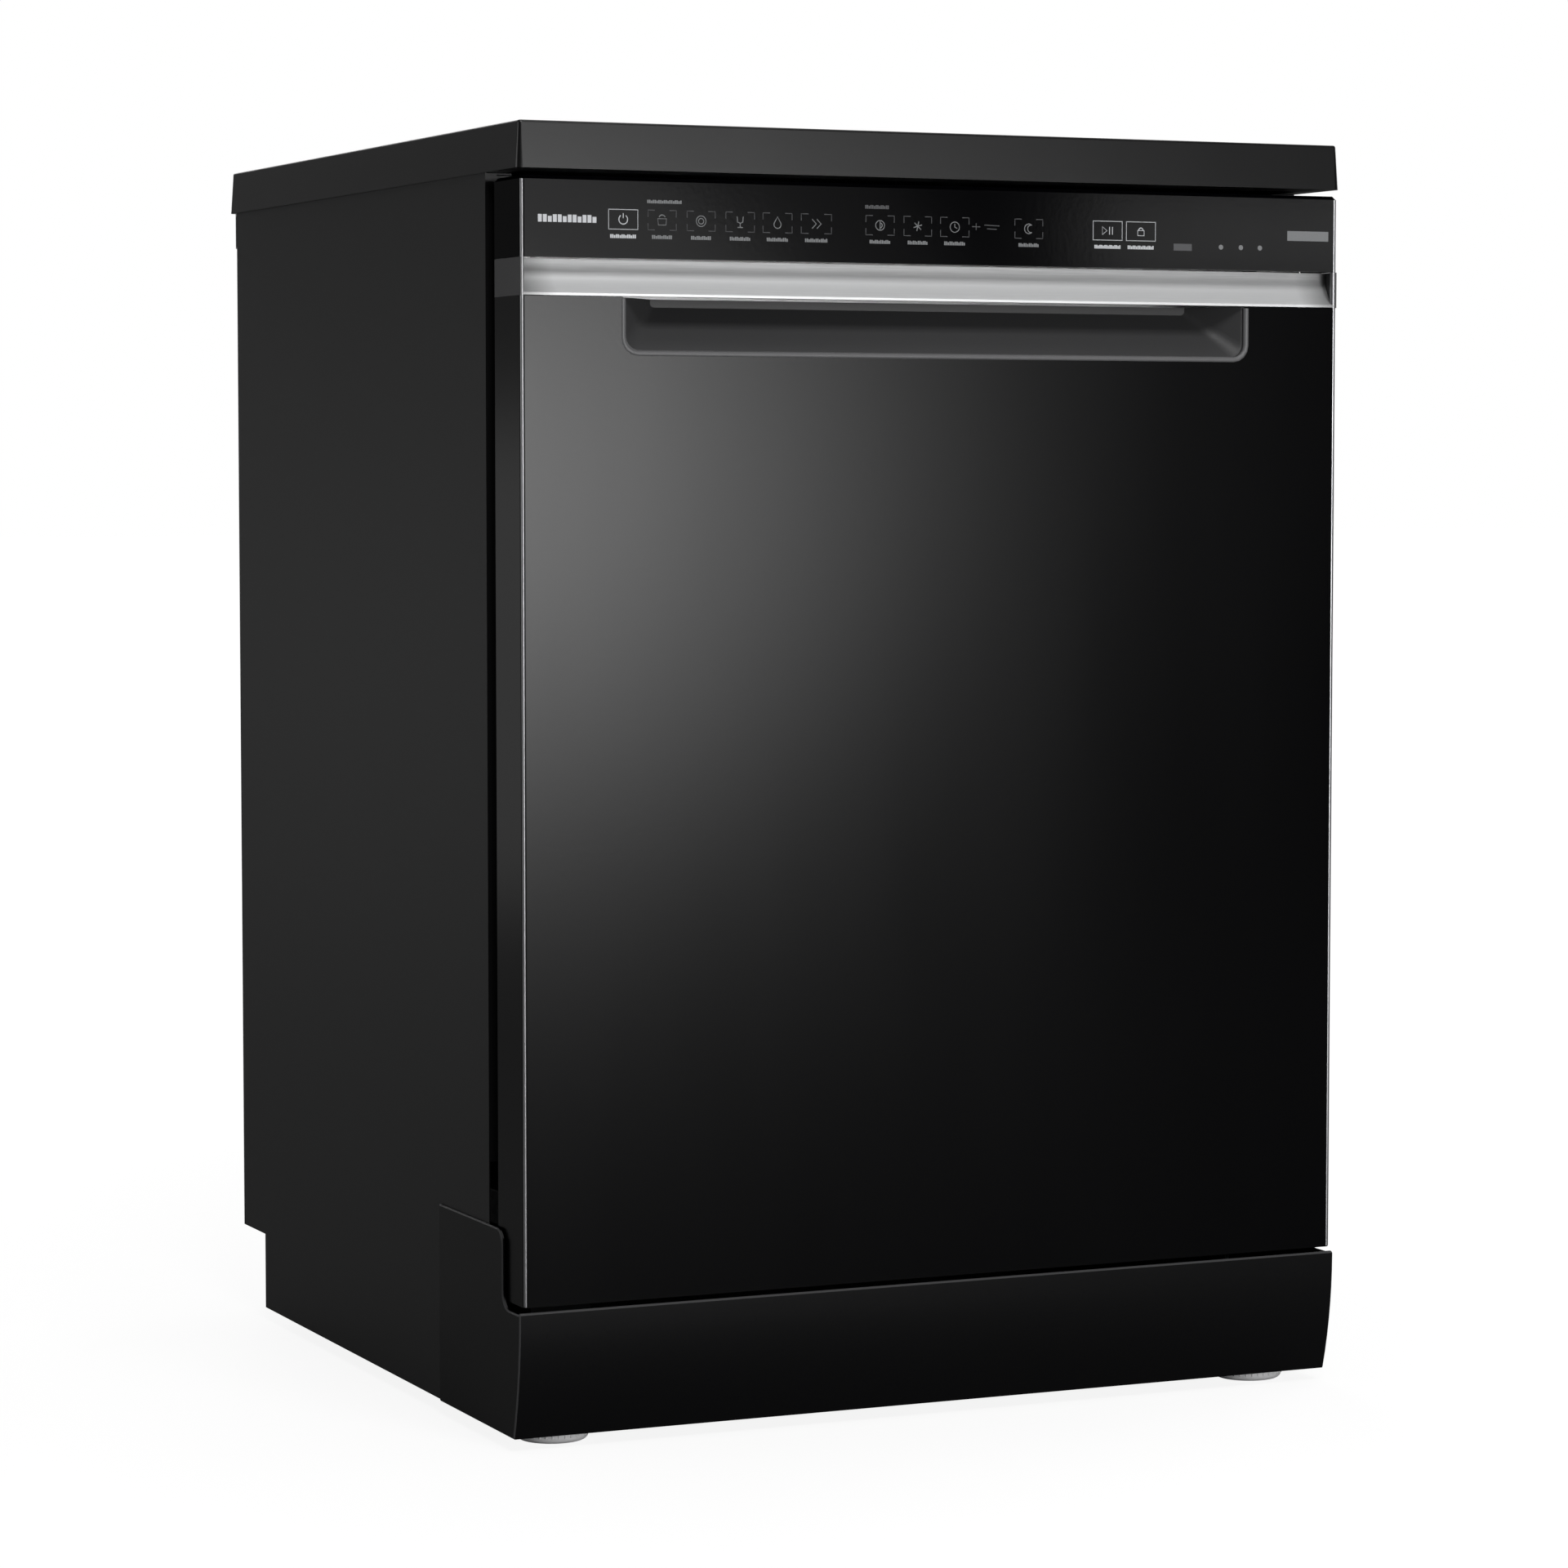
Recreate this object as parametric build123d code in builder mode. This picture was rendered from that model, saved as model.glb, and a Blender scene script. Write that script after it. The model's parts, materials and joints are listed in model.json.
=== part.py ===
from build123d import *
import os

# A 60 cm domestic dishwasher with its own worktop, side panels, plinth and feet.
# Row frame: X to the right, -Y to the front, Z up, origin under the centre of the
# footprint at floor level. Lengths in millimetres.

# ---------------------------------------------------------------- driving sizes
WIDTH = 600.0  # over the plinth wings
DEPTH = 600.0
HEIGHT = 850.0
FRONT = -DEPTH / 2
REAR = DEPTH / 2
GAP = 0.3  # between curved faces of different moving pieces

WORKTOP_HALF = 299.0
WORKTOP_UNDER = 820.0
SIDE_OUTER = 298.0
SHEET = 0.8
SIDE_FRONT = -240.0
SIDE_REAR = 286.0
SIDE_BOTTOM = 9.0
NOTCH_FRONT = 235.0
NOTCH_TOP = 64.0

DOOR_HALF = 296.8
DOOR_BOTTOM = 95.5
DOOR_TOP = 815.5
DOOR_BACK = -253.5
DOOR_SKIN = 2.5
DOOR_RETURN = 1.5
STRIP_BOTTOM = 740.3
STRIP_TOP = 763.8
POCKET_HALF = 227.0
POCKET_BOTTOM = 703.5
POCKET_DEPTH = 31.0

PIVOT_Y = -240.0
PIVOT_Z = 150.0
PIN_R = 4.0
LINER_BACK = -232.0

TUB_HALF = 272.0
TUB_FRONT = -236.0
TUB_REAR = 264.0
TUB_TOP = 800.0
TUB_FLOOR = 128.0
LIP_Z = 159.5
LIP_REAR = -180.0
TUB_WALL = 1.0

SUMP_Y = 13.0
SUMP_R = 84.5
ARM_REACH = 222.0
LOWER_ARM_Z = 165.0
UPPER_ARM_Z = 406.0

FEET = (("front", 259.6, -252.0), ("rear", 246.0, 196.0))
FOOT_R = 24.0
STEM_R = 5.0

PLINTH_TOP = 92.0
PLINTH_BOTTOM = 8.6
PLINTH_BOW = 12.0
WING_TOP = 141.5

WHEEL_X = 257.0
WHEEL_Z = 178.5
WHEEL_R = 17.0
WHEEL_FRONT_Y = -140.0
WHEEL_REAR_Y = 150.0

BAR = 4.0  # rack wires
WELD = 0.1  # between crossing wires
RACK_FRONT = -222.0
RACK_REAR = 228.0
UPPER_RACK_FLOOR = 446.0
UPPER_RACK_RIM = 560.0
LOWER_RACK_FLOOR = 198.0
LOWER_RACK_RIM = 322.0
TRAY_FLOOR = 716.0
TRAY_RIM = 748.0

SIDES = (("left", -1), ("right", 1))

os.makedirs("parts", exist_ok=True)


def block(x0, x1, y0, y1, z0, z1, mode=Mode.ADD):
    """A box between limits, for the part being built."""
    with Locations(((x0 + x1) / 2, (y0 + y1) / 2, (z0 + z1) / 2)):
        Box(abs(x1 - x0), abs(y1 - y0), abs(z1 - z0), mode=mode)


def side_block(sign, x0, x1, y0, y1, z0, z1, mode=Mode.ADD):
    """A box whose X limits are distances from the middle plane, on one side of it."""
    block(min(sign * x0, sign * x1), max(sign * x0, sign * x1), y0, y1, z0, z1, mode)


def upright_cylinder(x, y, z0, z1, radius, mode=Mode.ADD):
    """A cylinder standing between two heights."""
    with Locations((x, y, (z0 + z1) / 2)):
        Cylinder(radius, z1 - z0, mode=mode)


def cross_cylinder(x0, x1, y, z, radius, mode=Mode.ADD):
    """A cylinder lying along X between two limits."""
    with Locations(Location(((x0 + x1) / 2, y, z), (0, 90, 0))):
        Cylinder(radius, abs(x1 - x0), mode=mode)


def deep_cylinder(x, y0, y1, z, radius, mode=Mode.ADD):
    """A cylinder lying along Y between two limits."""
    with Locations(Location((x, (y0 + y1) / 2, z), (90, 0, 0))):
        Cylinder(radius, abs(y1 - y0), mode=mode)


def save(part, name):
    """Label a finished part and write its STEP file."""
    part.label = name
    export_step(part, f"parts/{name}.step")


# ---------------------------------------------------------------- worktop and casing
with BuildPart() as worktop:
    with BuildSketch(Plane.XY.offset(WORKTOP_UNDER)):
        RectangleRounded(2 * WORKTOP_HALF, DEPTH, 4)
    extrude(amount=HEIGHT - WORKTOP_UNDER, taper=3.8)
    fillet(worktop.faces().sort_by(Axis.Z)[-1].edges(), 1.6)
    block(-285, 285, -270, 258, WORKTOP_UNDER, WORKTOP_UNDER + 4, Mode.SUBTRACT)
save(worktop.part, "worktop")

for side, sign in SIDES:
    with BuildPart() as side_panel:
        with BuildSketch(Plane.YZ.offset(sign * SIDE_OUTER)):
            with BuildLine():
                Polyline(
                    (SIDE_FRONT, SIDE_BOTTOM),
                    (NOTCH_FRONT, SIDE_BOTTOM),
                    (NOTCH_FRONT, NOTCH_TOP),
                    (SIDE_REAR, NOTCH_TOP),
                    (SIDE_REAR, WORKTOP_UNDER),
                    (SIDE_FRONT, WORKTOP_UNDER),
                    close=True,
                )
            make_face()
        extrude(amount=-sign * SHEET)
        side_block(sign, 290, SIDE_OUTER - 0.1, SIDE_FRONT, SIDE_FRONT + SHEET, 182, 819)
        side_block(sign, 280, SIDE_OUTER - 0.1, SIDE_FRONT, 230, 818.8, 819.6)
    save(side_panel.part, f"side_panel_{side}")

with BuildPart() as front_frame:
    for sign in (-1, 1):
        side_block(sign, 284, 285.2, -236, -204, 205, 818)
        side_block(sign, 284, 296.5, -236, -234.8, 205, 818)
        side_block(sign, 284, 296.5, -205.2, -204, 205, 818)
    block(-296.5, 296.5, -236, -234.8, 809, 818.4)
    block(-296.5, 296.5, -236, -200, 817.2, 818.4)
    block(-296.5, 296.5, -201.2, -200, 804, 818.4)
save(front_frame.part, "front_frame")

with BuildPart() as hinge_brackets:
    for sign in (-1, 1):
        with BuildSketch(Plane.YZ.offset(sign * 288.5)):
            with BuildLine():
                Polyline(
                    (PIVOT_Y - 10, PIVOT_Z - 10),
                    (-180, PIVOT_Z - 10),
                    (-180, 100),
                    (-120, 100),
                    (-120, 161),
                    (PIVOT_Y - 10, 161),
                    close=True,
                )
            make_face()
        extrude(amount=sign * 2.3)
        cross_cylinder(sign * 284.3, sign * 289, PIVOT_Y, PIVOT_Z, PIN_R)
save(hinge_brackets.part, "hinge_brackets")

with BuildPart() as balance_springs:
    for sign in (-1, 1):
        deep_cylinder(sign * 283.6, -222, -100, 110, 3.5)
        deep_cylinder(sign * 283.6, -232, -90, 110, 1.0)
save(balance_springs.part, "balance_springs")

with BuildPart() as rear_panel:
    block(-296.8, 296.8, 284.6, 285.6, NOTCH_TOP + 2, 792)
    with Locations([(x, 286.2, 430) for x in (-220, -110, 0, 110, 220)]):
        Box(24, 1.6, 620)
    block(-296.8, 296.8, 262, 285, NOTCH_TOP + 2, NOTCH_TOP + 3)
save(rear_panel.part, "rear_panel")

with BuildPart() as rear_top_rail:
    block(-297, 297, 290.6, 292, 794, 819.8)
    block(-297, 297, 266, 292, 818.4, 819.8)
    block(-297, 297, 286.4, 292, 794, 795.4)
save(rear_top_rail.part, "rear_top_rail")

# ---------------------------------------------------------------- base, plinth and feet
with BuildPart() as base_tray:
    block(-294, 294, -285, 230, 14, 58)
    block(-291, 291, -282, 227, 17, 60, Mode.SUBTRACT)
    for sign in (-1, 1):
        side_block(sign, 291.2, 294, -165, 230, 57, 127)
    block(-294, 294, 227, 230, 57, 127)
    for end, across, y in FEET:
        for sign in (-1, 1):
            upright_cylinder(sign * across, y, 14, 56, 17)
            upright_cylinder(sign * across, y, 10, 60, STEM_R + GAP, Mode.SUBTRACT)
    upright_cylinder(200, 140, 16, 46, 4)
    block(186, 214, 148, 160, 16, 60)
save(base_tray.part, "base_tray")

for side, sign in SIDES:
    for end, across, y in FEET:
        x = sign * across
        with BuildPart() as foot:
            with BuildSketch(Plane.XY):
                with Locations((x, y)):
                    Circle(FOOT_R)
            extrude(amount=9)
            fillet(foot.faces().sort_by(Axis.Z)[-1].edges(), 2)
            fillet(foot.faces().sort_by(Axis.Z)[0].edges(), 4)
            with BuildSketch(Plane.XY.offset(9)):
                with Locations((x, y)):
                    RegularPolygon(11, 6)
            extrude(amount=4.4)
            upright_cylinder(x, y, 9, 54, STEM_R)
        save(foot.part, f"foot_{end}_{side}")

with BuildPart() as plinth:
    with BuildSketch(Plane.YZ.offset(-WIDTH / 2)):
        with BuildLine():
            Line((FRONT + 1.2, PLINTH_TOP), (FRONT, PLINTH_TOP - 1.2))
            TangentArc(
                (FRONT, PLINTH_TOP - 1.2), (FRONT + PLINTH_BOW, PLINTH_BOTTOM), tangent=(0, -1)
            )
            Line((FRONT + PLINTH_BOW, PLINTH_BOTTOM), (FRONT + PLINTH_BOW + 2.4, PLINTH_BOTTOM))
            ThreePointArc(
                (FRONT + PLINTH_BOW + 2.4, PLINTH_BOTTOM),
                (FRONT + PLINTH_BOW * 0.25 + 2.6, (PLINTH_TOP + PLINTH_BOTTOM) / 2),
                (FRONT + 2.6, PLINTH_TOP),
            )
            Line((FRONT + 2.6, PLINTH_TOP), (FRONT + 1.2, PLINTH_TOP))
        make_face()
    extrude(amount=WIDTH)
    for sign in (-1, 1):
        with BuildSketch(Plane.YZ.offset(sign * WIDTH / 2)):
            with BuildLine():
                Polyline((FRONT + 151, PLINTH_BOTTOM), (FRONT + 151, WING_TOP), (FRONT + 42, WING_TOP))
                TangentArc(
                    (FRONT + 42, WING_TOP), (FRONT + 32, WING_TOP - 10), tangent=(-1, 0)
                )
                Line((FRONT + 32, WING_TOP - 10), (FRONT + 32, PLINTH_TOP + 10))
                TangentArc(
                    (FRONT + 32, PLINTH_TOP + 10), (FRONT + 20, PLINTH_TOP - 1.2), tangent=(0, -1)
                )
                Line((FRONT + 20, PLINTH_TOP - 1.2), (FRONT, PLINTH_TOP - 1.2))
                TangentArc(
                    (FRONT, PLINTH_TOP - 1.2), (FRONT + PLINTH_BOW, PLINTH_BOTTOM), tangent=(0, -1)
                )
                Line((FRONT + PLINTH_BOW, PLINTH_BOTTOM), (FRONT + 151, PLINTH_BOTTOM))
            make_face()
        extrude(amount=-sign * 1.9)
    chamfer(plinth.faces().sort_by(Axis.X)[-1].edges(), 0.9)
    chamfer(plinth.faces().sort_by(Axis.X)[0].edges(), 0.9)
save(plinth.part, "plinth")

# ---------------------------------------------------------------- tub
with BuildPart() as tub:
    for inset, mode in ((0, Mode.ADD), (TUB_WALL, Mode.SUBTRACT)):
        with BuildPart(mode=Mode.PRIVATE) as tub_form:
            with BuildSketch(Plane.YZ.offset(-TUB_HALF + inset)):
                with BuildLine():
                    Polyline(
                        (TUB_FRONT - inset, LIP_Z + inset),
                        (LIP_REAR + inset, LIP_Z + inset),
                        (LIP_REAR + 14 + inset, TUB_FLOOR + inset),
                        (TUB_REAR - inset, TUB_FLOOR + inset),
                        (TUB_REAR - inset, TUB_TOP - inset),
                        (TUB_FRONT - inset, TUB_TOP - inset),
                        close=True,
                    )
                make_face()
            extrude(amount=2 * (TUB_HALF - inset))
            fillet(tub_form.edges().filter_by(Axis.Y).group_by(Axis.Z)[-1], 21 - inset)
            fillet(tub_form.edges().filter_by(Axis.Z).group_by(Axis.Y)[-1], 21 - inset)
        add(tub_form.part, mode=mode)
    with BuildSketch(Plane.XZ.offset(-TUB_FRONT)):
        with Locations((0, (LIP_Z + 808) / 2)):
            Rectangle(566, 808 - LIP_Z)
        with Locations((0, (LIP_Z + TUB_WALL + TUB_TOP - TUB_WALL) / 2)):
            RectangleRounded(2 * (TUB_HALF - TUB_WALL), TUB_TOP - LIP_Z - 2, 12, mode=Mode.SUBTRACT)
    extrude(amount=1)
    for sign in (-1, 1):
        side_block(sign, 247, TUB_HALF - 0.5, LIP_REAR + 12, TUB_REAR - 22, 159.4, 160.9)
    upright_cylinder(0, SUMP_Y, 120, 135, SUMP_R + 0.2, Mode.SUBTRACT)
save(tub.part, "tub")

with BuildPart() as tub_gasket:
    with BuildSketch(Plane.XZ.offset(-TUB_FRONT + 1.1)):
        with Locations((0, (165 + 807.5) / 2)):
            Rectangle(565, 807.5 - 165)
        with Locations((0, (150 + 799.5) / 2)):
            Rectangle(545, 799.5 - 150, mode=Mode.SUBTRACT)
        with Locations((0, 803.5)):
            Rectangle(50, 12, mode=Mode.SUBTRACT)
    extrude(amount=12)
    chamfer(tub_gasket.faces().sort_by(Axis.Y)[0].edges(), 2)
    block(-244, 244, -235.6, -230, 160.7, 163.2)
save(tub_gasket.part, "tub_gasket")

with BuildPart() as latch_striker:
    for x in (-7.5, 7.5):
        block(x - 1.5, x + 1.5, -268, -237.2, 801.5, 804.5)
    block(-9, 9, -268, -265, 801.5, 804.5)
    block(-20, 20, -238.6, -237.2, 799.5, 807)
save(latch_striker.part, "latch_striker")

with BuildPart() as air_break:
    block(-294, -275, 0, 180, 250, 560)
    block(-290, -279, 40, 60, 200, 252)
save(air_break.part, "air_break")

# ---------------------------------------------------------------- water circuit in the base
with BuildPart() as sump:
    upright_cylinder(0, SUMP_Y, 58, 131, SUMP_R)
    upright_cylinder(0, SUMP_Y, 129.2, 131, SUMP_R + 8)
    upright_cylinder(0, SUMP_Y, 61, 132, SUMP_R - 3, Mode.SUBTRACT)
    upright_cylinder(0, SUMP_Y, 60, 163, 14)
    upright_cylinder(0, SUMP_Y, 163, 180, 8)
    upright_cylinder(0, SUMP_Y, 177, 180, 13)
save(sump.part, "sump")

with BuildPart() as filter_plate:
    upright_cylinder(0, SUMP_Y, 131.2, 132.7, 88)
    upright_cylinder(0, SUMP_Y, 131, 133, 14.4, Mode.SUBTRACT)
    upright_cylinder(45, SUMP_Y, 131, 133, 26.6, Mode.SUBTRACT)
    for radius, count in ((78, 24), (70, 20)):
        with Locations((0, SUMP_Y, 132)):
            with PolarLocations(radius, count):
                Cylinder(2, 4, mode=Mode.SUBTRACT)
save(filter_plate.part, "filter_plate")

with BuildPart() as filter_cup:
    upright_cylinder(45, SUMP_Y, 74, 139, 26)
    upright_cylinder(45, SUMP_Y, 77, 140, 23.5, Mode.SUBTRACT)
    block(42.5, 47.5, SUMP_Y - 24.5, SUMP_Y + 24.5, 128, 144)
    for z in (88, 98, 108, 118):
        with Locations((45, SUMP_Y, z)):
            with PolarLocations(25, 10):
                Box(6, 5, 5, mode=Mode.SUBTRACT)
save(filter_cup.part, "filter_cup")

with BuildPart() as wash_pump_housing:
    cross_cylinder(-121, -88, SUMP_Y, 92, 30)
    cross_cylinder(-118.5, -90.5, SUMP_Y, 92, 27, Mode.SUBTRACT)
    cross_cylinder(-122, -117, SUMP_Y, 92, 3.6, Mode.SUBTRACT)
save(wash_pump_housing.part, "wash_pump_housing")

with BuildPart() as pump_impeller:
    cross_cylinder(-113, -98, SUMP_Y, 92, 9)
    cross_cylinder(-113, -111, SUMP_Y, 92, 24)
    with Locations(Location((-104.5, SUMP_Y, 92), (0, 90, 0))):
        with PolarLocations(15.5, 6):
            Box(15, 2, 13)
    cross_cylinder(-114, -103, SUMP_Y, 92, 3 + GAP, Mode.SUBTRACT)
save(pump_impeller.part, "pump_impeller")

with BuildPart() as wash_motor:
    cross_cylinder(-190, -121.4, SUMP_Y, 92, 34)
    cross_cylinder(-122, -103.5, SUMP_Y, 92, 3)
    block(-180, -135, SUMP_Y - 20, SUMP_Y + 20, 17.3, 62)
save(wash_motor.part, "wash_motor")

with BuildPart() as drain_pump:
    cross_cylinder(88, 150, SUMP_Y, 78, 20)
    cross_cylinder(90.5, 109.5, SUMP_Y, 78, 17, Mode.SUBTRACT)
    cross_cylinder(99, 113, SUMP_Y, 78, 2.3)
save(drain_pump.part, "drain_pump")

with BuildPart() as drain_impeller:
    cross_cylinder(95, 107, SUMP_Y, 78, 6)
    with Locations(Location((101, SUMP_Y, 78), (0, 90, 0))):
        with PolarLocations(9.5, 4):
            Box(9, 2, 12)
    cross_cylinder(98, 108, SUMP_Y, 78, 2.3 + GAP, Mode.SUBTRACT)
save(drain_impeller.part, "drain_impeller")

with BuildPart() as heater:
    cross_cylinder(-120, 120, 140, 88, 20)
    for x in (-90, 90):
        upright_cylinder(x, 140, 100, 122, 9)
save(heater.part, "heater")

with BuildPart() as float_disc:
    upright_cylinder(200, 140, 19, 31, 7)
    upright_cylinder(200, 140, 18, 32, 4 + GAP, Mode.SUBTRACT)
save(float_disc.part, "float_disc")

with BuildPart() as inlet_valve:
    block(170, 230, 230.4, 262, 22, 70)
    deep_cylinder(200, 262, 284, 44, 13.2)
    deep_cylinder(200, 266, 285, 44, 9, Mode.SUBTRACT)
save(inlet_valve.part, "inlet_valve")

with BuildPart() as drain_outlet:
    block(96, 144, 230.4, 240, 22, 66)
    deep_cylinder(120, 240, 276, 44, 9.5)
    deep_cylinder(120, 244, 277, 44, 7, Mode.SUBTRACT)
save(drain_outlet.part, "drain_outlet")

with BuildPart() as cable_gland:
    block(-222, -178, 230.4, 246, 24, 64)
    deep_cylinder(-200, 246, 262, 44, 9)
    deep_cylinder(-200, 250, 263, 44, 4.5, Mode.SUBTRACT)
save(cable_gland.part, "cable_gland")

# ---------------------------------------------------------------- spray feed inside the tub
with BuildPart() as feed_pipe:
    with BuildLine(Plane.YZ) as feed_path:
        FilletPolyline((104, 141), (250, 141), (250, 782), (20, 782), radius=20)
    with BuildSketch(Plane(origin=(0, 104, 141), z_dir=(0, 1, 0))):
        Circle(8)
    sweep(path=feed_path.line)
    block(-7, 7, 236, 246, 426, 440)
    upright_cylinder(0, 0, 762, 784, 17)
    upright_cylinder(0, 0, 762, 767, 30)
    block(-9, 9, 0, 25, 774, 790)
save(feed_pipe.part, "feed_pipe")

with BuildPart() as lower_spray_arm:
    with BuildSketch(Plane.XY.offset(LOWER_ARM_Z)):
        with Locations((0, SUMP_Y)):
            SlotOverall(2 * ARM_REACH, 44)
            Circle(38)
    extrude(amount=11)
    fillet(lower_spray_arm.faces().sort_by(Axis.Z)[-1].edges(), 3)
    upright_cylinder(0, SUMP_Y, LOWER_ARM_Z - 1, LOWER_ARM_Z + 12, 8 + GAP, Mode.SUBTRACT)
    for reach in (-190, -140, -90, 90, 140, 190):
        upright_cylinder(reach, SUMP_Y, LOWER_ARM_Z + 6, LOWER_ARM_Z + 12, 2.5, Mode.SUBTRACT)
save(lower_spray_arm.part, "lower_spray_arm")

with BuildPart() as upper_arm_feed:
    deep_cylinder(0, -14, 234, 433, 7)
    upright_cylinder(0, 0, 421, 440, 14)
    upright_cylinder(0, 0, 403, 422, 7)
    upright_cylinder(0, 0, 400, 403.6, 12)
save(upper_arm_feed.part, "upper_arm_feed")

with BuildPart() as upper_spray_arm:
    with BuildSketch(Plane.XY.offset(UPPER_ARM_Z)):
        SlotOverall(2 * 205, 40)
        Circle(32)
    extrude(amount=11)
    fillet(upper_spray_arm.faces().sort_by(Axis.Z)[-1].edges(), 3)
    upright_cylinder(0, 0, UPPER_ARM_Z - 1, UPPER_ARM_Z + 12, 7 + GAP, Mode.SUBTRACT)
save(upper_spray_arm.part, "upper_spray_arm")


# ---------------------------------------------------------------- racks
def basket(half, front, rear, floor, rim, columns, rows):
    """Wire basket: crossing floor wires in two layers, uprights and a rim, each wire a straight bar."""
    depth = rear - front
    middle = (front + rear) / 2
    xs = [-half + BAR + (2 * half - 2 * BAR) * (i + 0.5) / columns for i in range(columns)]
    ys = [front + BAR + (depth - 2 * BAR) * (i + 0.5) / rows for i in range(rows)]
    upper_layer = floor + BAR + WELD
    upright_foot = upper_layer + BAR + WELD
    upright_top = rim - WELD
    upright = upright_top - upright_foot
    upright_z = (upright_foot + upright_top) / 2
    with Locations([(x, middle, floor + BAR / 2) for x in xs]):
        Box(BAR, depth, BAR)
    with Locations([(0, y, upper_layer + BAR / 2) for y in ys]):
        Box(2 * half, BAR, BAR)
    with Locations([(x, y, upright_z) for x in xs for y in (front + BAR / 2, rear - BAR / 2)]):
        Box(BAR, BAR, upright)
    with Locations([(x, y, upright_z) for y in ys for x in (-half + BAR / 2, half - BAR / 2)]):
        Box(BAR, BAR, upright)
    for y in (front + BAR / 2, rear - BAR / 2):
        block(-half, half, y - BAR / 2, y + BAR / 2, rim, rim + BAR)
    for sign in (-1, 1):
        side_block(sign, half - BAR, half, front + BAR + WELD, rear - BAR - WELD, rim, rim + BAR)


with BuildPart() as lower_rack:
    basket(243, -207, RACK_REAR, LOWER_RACK_FLOOR, LOWER_RACK_RIM, 7, 6)
    for y in (WHEEL_FRONT_Y, WHEEL_REAR_Y):
        for sign in (-1, 1):
            side_block(sign, 236, 247, y - 8, y + 8, WHEEL_Z - 6, LOWER_RACK_FLOOR - WELD)
            cross_cylinder(sign * 246, sign * 263, y, WHEEL_Z, 3)
save(lower_rack.part, "lower_rack")

with BuildPart() as lower_tines:
    for y in (0, 40, 80, 120, 160):
        block(-200, -40, y - 1.5, y + 1.5, LOWER_RACK_FLOOR + 8.4, LOWER_RACK_FLOOR + 11.4)
        with Locations([(x, y, LOWER_RACK_FLOOR + 47) for x in (-185, -153, -121, -89, -57)]):
            Box(3, 3, 72)
save(lower_tines.part, "lower_tines")

for side, sign in SIDES:
    for end, y in (("front", WHEEL_FRONT_Y), ("rear", WHEEL_REAR_Y)):
        with BuildPart() as rack_wheel:
            cross_cylinder(sign * (WHEEL_X - 5), sign * (WHEEL_X + 5), y, WHEEL_Z, WHEEL_R)
            cross_cylinder(sign * (WHEEL_X - 6), sign * (WHEEL_X + 6), y, WHEEL_Z, 3 + GAP, Mode.SUBTRACT)
        save(rack_wheel.part, f"rack_wheel_{end}_{side}")

with BuildPart() as upper_rack:
    basket(246, RACK_FRONT, RACK_REAR, UPPER_RACK_FLOOR, UPPER_RACK_RIM, 7, 6)
    for sign in (-1, 1):
        for y in (-107.5, 113.5):
            side_block(sign, 246 + WELD, 252.4, y - 12, y + 12, 468, 480)
        side_block(sign, 252.5, 258, RACK_FRONT, 218, 466, 482)
save(upper_rack.part, "upper_rack")

with BuildPart() as cutlery_tray:
    block(-247, 247, RACK_FRONT, RACK_REAR, TRAY_FLOOR, TRAY_RIM)
    block(-244, 244, RACK_FRONT + 3, RACK_REAR - 3, TRAY_FLOOR + 3, TRAY_RIM + 1, Mode.SUBTRACT)
    with BuildSketch(Plane.XY.offset(TRAY_FLOOR - 1)):
        with Locations((0, (RACK_FRONT + RACK_REAR) / 2)):
            with GridLocations(48, 86, 10, 5):
                SlotOverall(78, 30, rotation=90)
    extrude(amount=6, mode=Mode.SUBTRACT)
    for sign in (-1, 1):
        side_block(sign, 246, 258, RACK_FRONT, 218, 728, 740)
save(cutlery_tray.part, "cutlery_tray")

RAILS = (("upper", 464.0, 484.0), ("tray", 726.0, 742.0))

with BuildPart() as fixed_rails:
    for level, low, high in RAILS:
        for sign in (-1, 1):
            side_block(sign, 265, 270.8, -210, 230, low, high)
            side_block(sign, 264.4, 268, -211, 231, low + 4, high - 4, Mode.SUBTRACT)
save(fixed_rails.part, "fixed_rails")

for level, low, high in RAILS:
    with BuildPart() as sliding_rails:
        for sign in (-1, 1):
            side_block(sign, 259, 264.2, RACK_FRONT, 218, low + 1, high - 1)
    save(sliding_rails.part, f"{level}_rails_slide")

# ---------------------------------------------------------------- door shell
with BuildPart() as door_outer_panel:
    block(-DOOR_HALF, DOOR_HALF, FRONT, FRONT + DOOR_SKIN, DOOR_BOTTOM, STRIP_BOTTOM - 0.5)
    for sign in (-1, 1):
        with BuildSketch(Plane.YZ.offset(sign * DOOR_HALF)):
            with BuildLine():
                Polyline(
                    (FRONT + 1, DOOR_BOTTOM),
                    (DOOR_BACK - 16, DOOR_BOTTOM),
                    (DOOR_BACK, DOOR_BOTTOM + 16),
                    (DOOR_BACK, STRIP_BOTTOM - 0.5),
                    (FRONT + 1, STRIP_BOTTOM - 0.5),
                    close=True,
                )
            make_face()
        extrude(amount=-sign * DOOR_RETURN)
    block(-DOOR_HALF, DOOR_HALF, FRONT + 1, -266, DOOR_BOTTOM, DOOR_BOTTOM + 1.5)
    front_corners = door_outer_panel.edges().filter_by(Axis.Z).group_by(Axis.Y)[0]
    fillet(front_corners, 2.8)
    with BuildSketch(Plane.XZ.offset(-FRONT + 1)):
        with BuildLine():
            Polyline(
                (-POCKET_HALF, STRIP_BOTTOM + 1),
                (-POCKET_HALF, POCKET_BOTTOM),
                (POCKET_HALF, POCKET_BOTTOM),
                (POCKET_HALF, STRIP_BOTTOM + 1),
                close=True,
            )
        pocket_face = make_face()
        fillet(pocket_face.vertices().group_by(Axis.Y)[0], 10)
    extrude(amount=-8, mode=Mode.SUBTRACT)
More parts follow.
